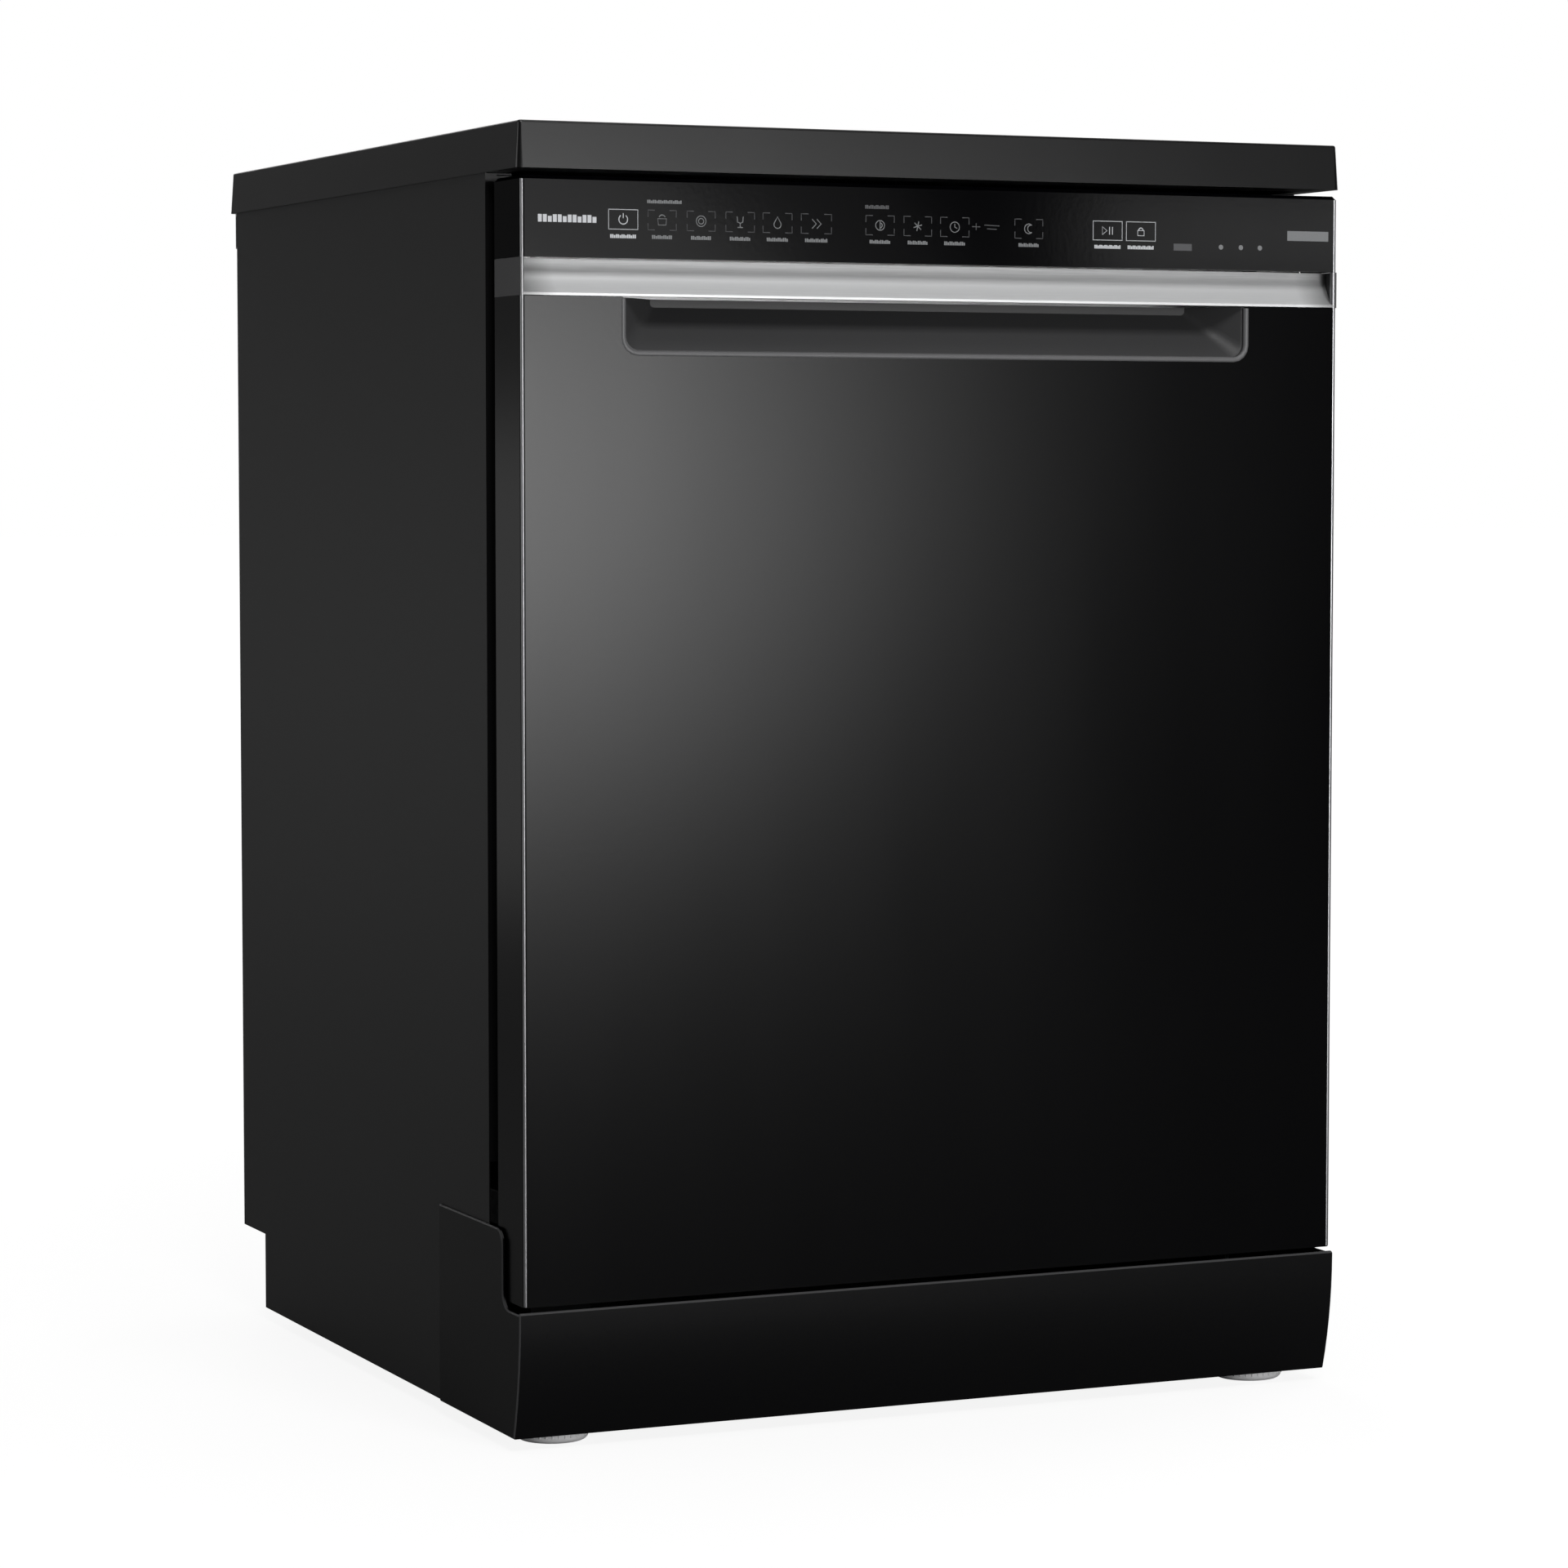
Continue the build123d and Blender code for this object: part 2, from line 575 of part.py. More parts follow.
save(door_outer_panel.part, "door_outer_panel")

with BuildPart() as handle_pocket:
    block(-POCKET_HALF - 3, POCKET_HALF + 3, FRONT + 2.8, FRONT + POCKET_DEPTH + 3, 700.5, 739.6)
    for depth, rise, corner in ((0, 0, 10), (POCKET_DEPTH, POCKET_DEPTH, 3)):
        with BuildSketch(Plane.XZ.offset(-FRONT - depth)):
            with BuildLine():
                Polyline(
                    (-POCKET_HALF + rise, 760),
                    (-POCKET_HALF + rise, POCKET_BOTTOM + rise),
                    (POCKET_HALF - rise, POCKET_BOTTOM + rise),
                    (POCKET_HALF - rise, 760),
                    close=True,
                )
            recess_face = make_face()
            fillet(recess_face.vertices().group_by(Axis.Y)[0], corner)
    loft(ruled=True, mode=Mode.SUBTRACT)
    block(-POCKET_HALF + 11, POCKET_HALF - 11, FRONT + 0.4, FRONT + 5, 702.4, 705.6)
    block(-POCKET_HALF, POCKET_HALF, FRONT - 1, FRONT + 2.7, 690, 703.7, Mode.SUBTRACT)
save(handle_pocket.part, "handle_pocket")

with BuildPart() as handle_strip:
    with BuildSketch(Plane.YZ.offset(-295)):
        with BuildLine():
            Line((FRONT, STRIP_BOTTOM), (FRONT, STRIP_BOTTOM + 1.6))
            ThreePointArc(
                (FRONT, STRIP_BOTTOM + 1.6),
                (FRONT + 8.6, STRIP_BOTTOM + 9),
                (FRONT + 12.5, STRIP_TOP),
            )
            Polyline(
                (FRONT + 12.5, STRIP_TOP),
                (FRONT + 15, STRIP_TOP),
                (FRONT + 15, STRIP_BOTTOM + 6),
                (FRONT + 10, STRIP_BOTTOM),
                (FRONT, STRIP_BOTTOM),
            )
        make_face()
    extrude(amount=590)
save(handle_strip.part, "handle_strip")

with BuildPart() as strip_end_caps:
    for sign in (-1, 1):
        side_block(sign, 295.3, DOOR_HALF, FRONT, DOOR_BACK, STRIP_BOTTOM - 0.3, STRIP_TOP + 0.2)
save(strip_end_caps.part, "strip_end_caps")

with BuildPart() as control_panel:
    block(-DOOR_HALF, DOOR_HALF, FRONT, DOOR_BACK, STRIP_TOP + 0.4, DOOR_TOP)
    fillet(control_panel.edges().filter_by(Axis.Z).group_by(Axis.Y)[0], 2.8)
    chamfer(control_panel.faces().sort_by(Axis.Z)[-1].edges().sort_by(Axis.Y)[0], 2.4)
    block(-295.3, 295.3, FRONT + 3, DOOR_BACK + 1, STRIP_TOP - 1, DOOR_TOP - 2.5, Mode.SUBTRACT)
save(control_panel.part, "control_panel")

with BuildPart() as door_inner_liner:
    block(-295, 295, -253, -252, 99, 812)
    block(-262, 262, -253, LINER_BACK, 166, 795)
    fillet(door_inner_liner.edges().filter_by(Axis.Y).group_by(Axis.Y)[-1], 18)
    block(-261, 261, -254, LINER_BACK - 1, 184, 777, Mode.SUBTRACT)
    block(-244, 244, -254, LINER_BACK - 1, 167, 794, Mode.SUBTRACT)
    for sign in (-1, 1):
        side_block(sign, 281.5, 296, -255, -250, 98, 190, Mode.SUBTRACT)
    block(-14, 14, -254, -250, 796.5, 813, Mode.SUBTRACT)
    block(-75, 75, -255, -230, 400, 520, Mode.SUBTRACT)
save(door_inner_liner.part, "door_inner_liner")

with BuildPart() as door_insulation:
    block(-280, 280, -296, -256, 112, 690)
    block(-80, 80, -297, -255, 395, 525, Mode.SUBTRACT)
save(door_insulation.part, "door_insulation")

with BuildPart() as control_module:
    block(-250, -40, -295, -262, 770, 808)
    block(-265, 265, -296.6, -294.8, 772, 806)
save(control_module.part, "control_module")

with BuildPart() as latch_body:
    block(-24, 24, -284, -256, 774, 811)
    block(-13, 13, -276, -255, 790, 812, Mode.SUBTRACT)
save(latch_body.part, "latch_body")

with BuildPart() as latch_lever:
    block(-5, 5, -272, -258, 792, 800)
    cross_cylinder(-11, 11, -270, 794, 2)
save(latch_lever.part, "latch_lever")

with BuildPart() as dispenser_body:
    block(-74, 74, -250, -231.9, 401, 519)
    block(-82, 82, -231.9, -229.6, 393, 527)
    block(-64, 4, -246, -229, 414, 506, Mode.SUBTRACT)
    deep_cylinder(42, -240, -229, 440, 20 + GAP, Mode.SUBTRACT)
save(dispenser_body.part, "dispenser_body")

with BuildPart() as dispenser_lid:
    block(-69, 9, -229.3, -226.6, 409, 511)
    block(-50, -10, -226.7, -225.2, 417, 423)
save(dispenser_lid.part, "dispenser_lid")

with BuildPart() as rinse_cap:
    deep_cylinder(42, -239.7, -232, 440, 20)
    block(39.5, 44.5, -233, -227.5, 424, 456)
save(rinse_cap.part, "rinse_cap")

with BuildPart() as hinge_arms:
    for sign in (-1, 1):
        with BuildSketch(Plane.YZ.offset(sign * 285)):
            with BuildLine():
                Polyline(
                    (-276, 125),
                    (-254.5, 138),
                    (-240, 138),
                    (-234, 106),
                    (-230, 106),
                    (-228, 150),
                    (-240, 162),
                    (-254.5, 162),
                    (-254.5, 290),
                    (-276, 290),
                    close=True,
                )
            make_face()
        extrude(amount=sign * 3)
        cross_cylinder(sign * 284, sign * 289, PIVOT_Y, PIVOT_Z, PIN_R + GAP, Mode.SUBTRACT)
save(hinge_arms.part, "hinge_arms")
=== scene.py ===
import json
import math

import bmesh
import bpy
from bpy.props import FloatProperty, FloatVectorProperty, IntProperty
from mathutils import Matrix, Vector


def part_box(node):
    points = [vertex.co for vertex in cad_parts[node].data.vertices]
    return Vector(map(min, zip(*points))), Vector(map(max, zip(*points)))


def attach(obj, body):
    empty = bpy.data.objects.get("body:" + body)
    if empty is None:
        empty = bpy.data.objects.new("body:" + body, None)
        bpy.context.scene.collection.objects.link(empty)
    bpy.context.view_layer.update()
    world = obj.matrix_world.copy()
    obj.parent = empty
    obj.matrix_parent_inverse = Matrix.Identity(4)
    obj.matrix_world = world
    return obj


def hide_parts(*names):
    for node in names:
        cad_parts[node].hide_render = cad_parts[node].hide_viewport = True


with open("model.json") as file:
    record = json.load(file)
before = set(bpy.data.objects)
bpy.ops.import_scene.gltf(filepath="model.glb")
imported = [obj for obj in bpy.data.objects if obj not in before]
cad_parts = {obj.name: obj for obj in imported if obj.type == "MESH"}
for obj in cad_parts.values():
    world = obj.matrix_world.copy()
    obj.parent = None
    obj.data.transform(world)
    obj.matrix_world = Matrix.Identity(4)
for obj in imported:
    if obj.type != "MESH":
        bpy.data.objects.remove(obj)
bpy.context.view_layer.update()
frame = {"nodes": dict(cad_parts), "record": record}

bl_info = {
    "name": "Dishwasher dressing",
    "version": (1, 0, 0),
    "blender": (4, 5, 0),
    "location": "3D View > Sidebar > Dishwasher",
    "description": "Finishes, printed fascia, wire racks and stage for the packed dishwasher",
    "category": "Object",
}

MM = 0.001
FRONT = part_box("door_outer_panel")[0].y
# EDGE_FLATNESS sets where the plinth's painted edge highlight begins
EDGE_FLATNESS = 0.75  # sum of the normal's fourth powers: 1 on a flat side, 0.5 on a bevel
PLASTIC_GREY = (0.40, 0.41, 0.43)
RACK_FLOORS = {"lower_rack": 198 * MM, "upper_rack": 446 * MM}
RACK_HALVES = {"lower_rack": 243 * MM, "upper_rack": 246 * MM}
BASKET_SPLAY = 6 * MM
MIDDLE_RIM = 0.55  # height of the lower rim wire, as a share of the basket's
TINE_PITCH = 32 * MM
RIB_COUNT = 36
CAPTION_LOW = 776.9  # mm, under the keys
CAPTION_HIGH = 779.3
CAPTION_PITCH = 1.25


# ------------------------------------------------------------------ shader helpers
class Value:
    """A shader socket that takes part in Python arithmetic through Math nodes."""

    def __init__(self, finish, socket):
        self.finish = finish
        self.socket = socket

    def _math(self, operation, first, second=None):
        node = self.finish.tree.nodes.new("ShaderNodeMath")
        node.operation = operation
        self.finish.feed(node.inputs[0], first)
        if second is not None:
            self.finish.feed(node.inputs[1], second)
        return Value(self.finish, node.outputs[0])

    def __add__(self, other):
        return self._math("ADD", self, other)

    def __sub__(self, other):
        return self._math("SUBTRACT", self, other)

    def __rsub__(self, other):
        return self._math("SUBTRACT", other, self)

    def __mul__(self, other):
        return self._math("MULTIPLY", self, other)

    def __abs__(self):
        return self._math("ABSOLUTE", self)

    __radd__ = __add__
    __rmul__ = __mul__


class Finish:
    """A material's node tree around one Principled shader."""

    def __init__(self, name, **fixed):
        self.material = bpy.data.materials.new(name)
        self.material.use_nodes = True
        self.tree = self.material.node_tree
        self.tree.nodes.clear()
        self.shader = self.tree.nodes.new("ShaderNodeBsdfPrincipled")
        self.output = self.tree.nodes.new("ShaderNodeOutputMaterial")
        self.tree.links.new(self.shader.outputs[0], self.output.inputs["Surface"])
        self.coords = self.node("TexCoord", "Object")
        self.set(**fixed)

    def feed(self, socket, value):
        if isinstance(value, Value):
            self.tree.links.new(value.socket, socket)
        else:
            socket.default_value = value

    def node(self, kind, output=0, settings=None, sockets=None):
        """Adds one node, with its settings first and then its sockets' values or links."""
        node = self.tree.nodes.new("ShaderNode" + kind)
        for key, value in (settings or {}).items():
            setattr(node, key, value)
        for key, value in (sockets or {}).items():
            self.feed(node.inputs[key], value)
        return Value(self, node.outputs[output])

    def set(self, **sockets):
        for key, value in sockets.items():
            self.feed(self.shader.inputs[key.replace("_", " ")], value)

    def split(self, vector):
        """The three components of a vector."""
        node = self.node("SeparateXYZ", 0, None, {"Vector": vector}).socket.node
        return [Value(self, socket) for socket in node.outputs]

    def limit(self, value):
        """A value held between 0 and 1."""
        return self.node("Clamp", 0, None, {"Value": value})

    def noise(self, scale, detail=2.0, stretch=(1.0, 1.0, 1.0), rough=0.5):
        place = self.node("Mapping", 0, None, {"Vector": self.coords, "Scale": stretch})
        values = {"Vector": place, "Scale": scale, "Detail": detail, "Roughness": rough}
        return self.node("TexNoise", "Fac", None, values)

    def mix(self, factor, first, second):
        """Two colours mixed by a factor."""
        node = self.tree.nodes.new("ShaderNodeMix")
        node.data_type = "RGBA"
        for index, value in ((0, factor), (6, first), (7, second)):
            self.feed(node.inputs[index], value)
        return Value(self, node.outputs[2])

    def bump(self, height, strength, distance):
        values = {"Height": height, "Strength": strength, "Distance": distance}
        self.set(Normal=self.node("Bump", 0, None, values))


def rgba(colour, gain=1.0):
    return (colour[0] * gain, colour[1] * gain, colour[2] * gain, 1.0)


def lacquer(name, colour, rough, specular):
    """High-gloss black lacquer with a faint orange peel and soft wipe marks."""
    finish = Finish(name, Specular_IOR_Level=specular)
    cloud = finish.noise(3.5, 3.0)
    wipe = finish.noise(9.0, 4.0, (1.0, 1.0, 0.25))
    finish.set(
        Base_Color=finish.mix(cloud, rgba(colour), rgba(colour, 1.35)),
        Roughness=rough + (wipe - 0.5) * 0.05,
    )
    finish.bump(finish.noise(260.0), 0.02, 0.0006)
    return finish.material


def painted_sheet(name, colour, rough):
    """Powder-coated sheet: a fine even texture with slight tone changes."""
    finish = Finish(name, Specular_IOR_Level=0.35)
    cloud = finish.noise(2.2, 3.0)
    grain = finish.noise(1500.0, 2.0)
    finish.set(
        Base_Color=finish.mix(cloud, rgba(colour), rgba(colour, 1.25)),
        Roughness=rough + (grain - 0.5) * 0.12,
    )
    finish.bump(grain, 0.18, 0.0004)
    return finish.material


def moulding(name, colour, rough, grain_scale=900.0, strength=0.12, specular=0.4):
    """Injection moulding with a spark-eroded grain."""
    finish = Finish(name, Specular_IOR_Level=specular)
    grain = finish.noise(grain_scale, 3.0)
    cloud = finish.noise(6.0, 2.0)
    finish.set(
        Base_Color=finish.mix(cloud, rgba(colour, 0.92), rgba(colour, 1.08)),
        Roughness=rough + (grain - 0.5) * 0.15,
    )
    finish.bump(grain, strength, 0.0005)
    return finish.material


def edge_highlit_moulding(name, colour, edge):
    """Gloss black moulding whose bevelled edges, found from the surface normal, are painted grey as a
    painted highlight.
    """
    finish = Finish(name, Specular_IOR_Level=0.18)
    grain = finish.noise(1200.0, 3.0)
    flatness = 0.0
    for part in finish.split(finish.node("NewGeometry", "Normal")):
        square = part * part
        flatness = square * square + flatness
    # painted highlight: grey on the bevels, where the real edges catch the light
    painted_edge_highlight = finish.limit((flatness - EDGE_FLATNESS) * -6.0)
    finish.set(
        Base_Color=finish.mix(painted_edge_highlight, rgba(colour), (edge, edge, edge * 1.03, 1.0)),
        Roughness=0.30 + (grain - 0.5) * 0.12,
    )
    finish.bump(grain, 0.06, 0.0005)
    return finish.material


def brushed(name, colour, rough, stretch, scale=500.0, strength=0.08):
    """Metal with a directional grain: long along one axis, fine across it."""
    finish = Finish(name, Metallic=1.0)
    grain = finish.noise(scale, 3.0, stretch)
    stain = finish.noise(5.0, 3.0)
    finish.set(
        Base_Color=finish.mix(grain, rgba(colour, 0.88), rgba(colour, 1.05)),
        Roughness=rough + (grain - 0.5) * 0.16 + (stain - 0.5) * 0.08,
    )
    finish.bump(grain, strength, 0.0002)
    return finish.material


def satin_strip(name, colour, inner):
    """Satin silver with a lengthwise grain and painted shading: lighter downwards, and painted shade
    darkens the ends past inner.
    """
    finish = Finish(name, Metallic=0.3, Specular_IOR_Level=0.4)
    grain = finish.noise(1400.0, 2.0, (0.02, 1.0, 1.0))
    across, _, height = finish.split(finish.coords)
    # painted shade at both ends, standing in for the end caps' shadow and dark reflection
    end = finish.limit((abs(across) - inner) * 45.0)
    low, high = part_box("handle_strip")
    # painted shading: dark at the top, under the control panel's lip, and light towards the bottom lip
    painted_light_downward = finish.limit((high.z - height) * (1.0 / (high.z - low.z)))
    painted_shading = finish.mix(painted_light_downward, rgba(colour, 0.42), rgba(colour, 1.40))
    body = finish.mix(grain, painted_shading, rgba(colour, 1.0))
    finish.set(
        Base_Color=finish.mix(end * 0.72, body, rgba(colour, 0.18)),
        Roughness=0.46 + (grain - 0.5) * 0.08,
    )
    finish.bump(grain, 0.01, 0.0001)
    return finish.material


def galvanised(name, colour):
    """Zinc-coated sheet with its crystal spangle."""
    finish = Finish(name, Metallic=0.9)
    values = {"Vector": finish.coords, "Scale": 190.0}
    spangle = finish.node("TexVoronoi", "Color", {"feature": "F1"}, values)
    tone = finish.node("SeparateColor", 0, None, {"Color": spangle})
    finish.set(
        Base_Color=finish.mix(tone, rgba(colour, 0.9), rgba(colour, 1.06)),
        Roughness=0.38 + tone * 0.10,
    )
    finish.bump(finish.noise(300.0), 0.04, 0.0004)
    return finish.material


def elastomer(name, colour):
    """Matt rubber with a dusty bloom."""
    finish = Finish(name, Specular_IOR_Level=0.25)
    bloom = finish.noise(40.0, 4.0)
    finish.set(
        Base_Color=finish.mix(bloom, rgba(colour), rgba(colour, 1.9)),
        Roughness=0.72 + bloom * 0.15,
    )
    finish.bump(finish.noise(700.0), 0.15, 0.0004)
    return finish.material


def felted(name, colour):
    """Pressed fibre mat."""
    finish = Finish(name, Specular_IOR_Level=0.1)
    fibre = finish.noise(420.0, 6.0, (1.0, 0.3, 1.0), 0.7)
    finish.set(
        Base_Color=finish.mix(fibre, rgba(colour, 0.5), rgba(colour, 1.5)),
        Roughness=0.9,
    )
    finish.bump(fibre, 0.7, 0.001)
    return finish.material


def printed_ink(name, colour, glow):
    """Screen-printed ink, a little uneven, with a painted glow: the print emits light at strength glow,
    which lightens it.
    """
    finish = Finish(name, Specular_IOR_Level=0.3, Emission_Strength=glow)
    speck = finish.noise(900.0, 3.0)
    finish.set(
        Base_Color=finish.mix(speck, rgba(colour, 0.85), rgba(colour)),
        Emission_Color=rgba(colour),
        Roughness=0.5 + speck * 0.1,
    )
    return finish.material


# ------------------------------------------------------------------ geometry helpers
def new_tree(name, inputs):
    """A geometry node group with a geometry in and out and the named inputs."""
    tree = bpy.data.node_groups.new(name, "GeometryNodeTree")
    tree.interface.new_socket("Geometry", in_out="INPUT", socket_type="NodeSocketGeometry")
    tree.interface.new_socket("Geometry", in_out="OUTPUT", socket_type="NodeSocketGeometry")
    for label, kind in inputs:
        tree.interface.new_socket(label, in_out="INPUT", socket_type="NodeSocket" + kind)
    source = tree.nodes.new("NodeGroupInput")
    sink = tree.nodes.new("NodeGroupOutput")
    return tree, source, sink


def chain_end(tree, source, sink, geometry):
    """Realize Instances and Set Material, which every tree ends with."""
    real = tree.nodes.new("GeometryNodeRealizeInstances")
    paint = tree.nodes.new("GeometryNodeSetMaterial")
    tree.links.new(geometry, real.inputs["Geometry"])
    tree.links.new(real.outputs[0], paint.inputs["Geometry"])
    tree.links.new(source.outputs["Material"], paint.inputs["Material"])
    tree.links.new(paint.outputs[0], sink.inputs["Geometry"])


def wire_tree():
    """Turns a mesh of edges into round wire with bent corners."""
    inputs = (("Radius", "Float"), ("Corner", "Float"), ("Sides", "Int"), ("Material", "Material"))
    tree, source, sink = new_tree("Round wire", inputs)
    curve = tree.nodes.new("GeometryNodeMeshToCurve")
    corner = tree.nodes.new("GeometryNodeFilletCurve")
    corner.mode = "POLY"
    corner.inputs["Count"].default_value = 4
    profile = tree.nodes.new("GeometryNodeCurvePrimitiveCircle")
    tube = tree.nodes.new("GeometryNodeCurveToMesh")
    tube.inputs["Fill Caps"].default_value = True
    tree.links.new(source.outputs["Geometry"], curve.inputs["Mesh"])
    tree.links.new(curve.outputs[0], corner.inputs["Curve"])
    tree.links.new(source.outputs["Corner"], corner.inputs["Radius"])
    tree.links.new(source.outputs["Radius"], profile.inputs["Radius"])
    tree.links.new(source.outputs["Sides"], profile.inputs["Resolution"])
    tree.links.new(corner.outputs[0], tube.inputs["Curve"])
    tree.links.new(profile.outputs[0], tube.inputs["Profile Curve"])
    chain_end(tree, source, sink, tube.outputs[0])
    return tree


def scatter_tree():
    """Puts one shape on every point of a mesh."""
    inputs = (("Shape", "Object"), ("Turn", "Rotation"), ("Material", "Material"))
    tree, source, sink = new_tree("Repeated shape", inputs)
    points = tree.nodes.new("GeometryNodeMeshToPoints")
    shape = tree.nodes.new("GeometryNodeObjectInfo")
    place = tree.nodes.new("GeometryNodeInstanceOnPoints")
    tree.links.new(source.outputs["Geometry"], points.inputs["Mesh"])
    tree.links.new(source.outputs["Shape"], shape.inputs["Object"])
    tree.links.new(points.outputs[0], place.inputs["Points"])
    tree.links.new(shape.outputs["Geometry"], place.inputs["Instance"])
    tree.links.new(source.outputs["Turn"], place.inputs["Rotation"])
    chain_end(tree, source, sink, place.outputs[0])
    return tree


def grow(name, vertices, edges, tree, values):
    """Runs a node group on a mesh of points and edges and keeps the result as a plain mesh."""
    mesh = bpy.data.meshes.new(name + "_guide")
    mesh.from_pydata(vertices, edges, [])
    piece = bpy.data.objects.new(name, mesh)
    bpy.context.scene.collection.objects.link(piece)
    modifier = piece.modifiers.new("Build", "NODES")
    modifier.node_group = tree
    for item in tree.interface.items_tree:
        if item.in_out == "INPUT" and item.name in values:
            modifier[item.identifier] = values[item.name]
    piece.update_tag()
    bpy.context.view_layer.update()
    graph = bpy.context.evaluated_depsgraph_get()
    result = bpy.data.meshes.new_from_object(piece.evaluated_get(graph))
    piece.modifiers.clear()
    piece.data = result
    result.name = name
    return piece


def finish_piece(piece, body, replaced=(), smooth=True):
    """Normals, shading and the frame's bookkeeping for a finished piece."""
    shell = bmesh.new()
    shell.from_mesh(piece.data)
    bmesh.ops.remove_doubles(shell, verts=shell.verts, dist=1e-6)
    bmesh.ops.recalc_face_normals(shell, faces=shell.faces)
    shell.to_mesh(piece.data)
    shell.free()
    if smooth:
        piece.data.shade_smooth()
        piece.data.set_sharp_from_angle(angle=math.radians(35))
    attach(piece, body)
    if replaced:
        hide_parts(*replaced)
    return piece


def wires(name, paths, radius, corner, material, sides=8):
    """Round wire along each path; a path whose ends meet is closed."""
    vertices = []
    edges = []
    for path in paths:
        start = len(vertices)
        closed = (Vector(path[0]) - Vector(path[-1])).length < 1e-7
        points = path[:-1] if closed else path
        vertices.extend(points)
        edges.extend((start + i, start + i + 1) for i in range(len(points) - 1))
        if closed:
            edges.append((start + len(points) - 1, start))
    values = {"Radius": radius, "Corner": corner, "Sides": sides, "Material": material}
    return grow(name, vertices, edges, trees()["wire"], values)


def scatter(name, points, shape, material, turn=(0.0, 0.0, 0.0)):
    """A copy of one small shape at every point."""
    values = {"Shape": shape, "Turn": turn, "Material": material}
    piece = grow(name, points, [], trees()["scatter"], values)
    bpy.data.objects.remove(shape)
    return piece


def trees():
    """The two node groups, made once."""
    if "wire" not in TREES:
        TREES["wire"] = wire_tree()
        TREES["scatter"] = scatter_tree()
    return TREES


TREES = {}
PAINTS = {}


def loose_object(name, shell):
    mesh = bpy.data.meshes.new(name)
    shell.to_mesh(mesh)
    shell.free()
    piece = bpy.data.objects.new(name, mesh)
    bpy.context.scene.collection.objects.link(piece)
    return piece


def add_box(shell, low, high, bevel=0.0, segments=2):
    """A box between two corners, with rounded edges, added to a bmesh."""
    made = bmesh.ops.create_cube(shell, size=1.0)
    centre = (Vector(low) + Vector(high)) / 2
    size = Vector(high) - Vector(low)
    bmesh.ops.scale(shell, vec=size, verts=made["verts"])
    bmesh.ops.translate(shell, vec=centre, verts=made["verts"])
    if bevel:
        edges = list({edge for vert in made["verts"] for edge in vert.link_edges})
        bmesh.ops.bevel(
            shell, geom=edges, offset=bevel, segments=segments, profile=0.5, affect="EDGES"
        )


def add_disc(shell, centre, axis, radius, depth, sides=24, top=None):
    """A short cylinder or cone about an axis, added to a bmesh."""
    turn = Vector((0, 0, 1)).rotation_difference(Vector(axis)).to_matrix().to_4x4()
    bmesh.ops.create_cone(
        shell,
        cap_ends=True,
        segments=sides,
        radius1=radius,
        radius2=radius if top is None else top,
        depth=depth,
        matrix=Matrix.Translation(Vector(centre)) @ turn,
    )


# ------------------------------------------------------------------ settings
class FinishSettings(bpy.types.PropertyGroup):
    """Colours and gloss of the machine's surfaces."""

    door_colour: FloatVectorProperty(
        name="Door lacquer",
        description="Colour of the door, fascia and worktop lacquer",
        subtype="COLOR",
        size=3,
        default=(0.0004, 0.0004, 0.0006),
    )
    door_rough: FloatProperty(
        name="Door roughness",
        description="Roughness of the door lacquer",
        default=0.20,
        subtype="FACTOR",
    )
    casing_colour: FloatVectorProperty(
        name="Casing paint",
        description="Colour of the powder-coated side panels",
        subtype="COLOR",
        size=3,
        default=(0.0032, 0.0032, 0.0036),
    )
    strip_colour: FloatVectorProperty(
        name="Handle strip",
        description="Colour of the anodised handle strip",
        subtype="COLOR",
        size=3,
        default=(0.60, 0.605, 0.61),
    )


class FasciaSettings(bpy.types.PropertyGroup):
    """Sizes of the print on the control fascia."""

    stroke: FloatProperty(
        name="Stroke",
        description="Radius of the printed strokes",
        default=0.36 * MM,
        unit="LENGTH",
    )
    frame_low: FloatProperty(
        name="Key frame bottom",
        description="Height of the lower edge of the key frames",
        default=782.5 * MM,
        unit="LENGTH",
    )
    frame_high: FloatProperty(
        name="Key frame top",
        description="Height of the upper edge of the key frames",
        default=795.0 * MM,
        unit="LENGTH",
    )


class RackSettings(bpy.types.PropertyGroup):
    """Sizes of the wire racks."""

    wire: FloatProperty(
        name="Wire radius",
        description="Radius of the rack wires with their coating",
        default=1.9 * MM,
        unit="LENGTH",
    )
    rim: FloatProperty(
        name="Rim radius",
        description="Radius of the rim wire",
        default=2.4 * MM,
        unit="LENGTH",
    )
    bend: FloatProperty(
        name="Bend radius",
        description="Radius of the bends in the wires",
        default=14.0 * MM,
        unit="LENGTH",
    )
    columns: IntProperty(
        name="Columns", description="Wires from front to rear", default=13, min=3
    )
    rows: IntProperty(name="Rows", description="Wires from side to side", default=12, min=3)


class StageSettings(bpy.types.PropertyGroup):
    """Camera and light."""

    lens: FloatProperty(
        name="Lens", description="Focal length in millimetres", default=108.17
    )
    key_power: FloatProperty(
        name="Key light", description="Power of the key softboxes", default=60.0, unit="POWER"
    )
    top_power: FloatProperty(
        name="Front light", description="Power of the front softbox", default=60.0, unit="POWER"
    )


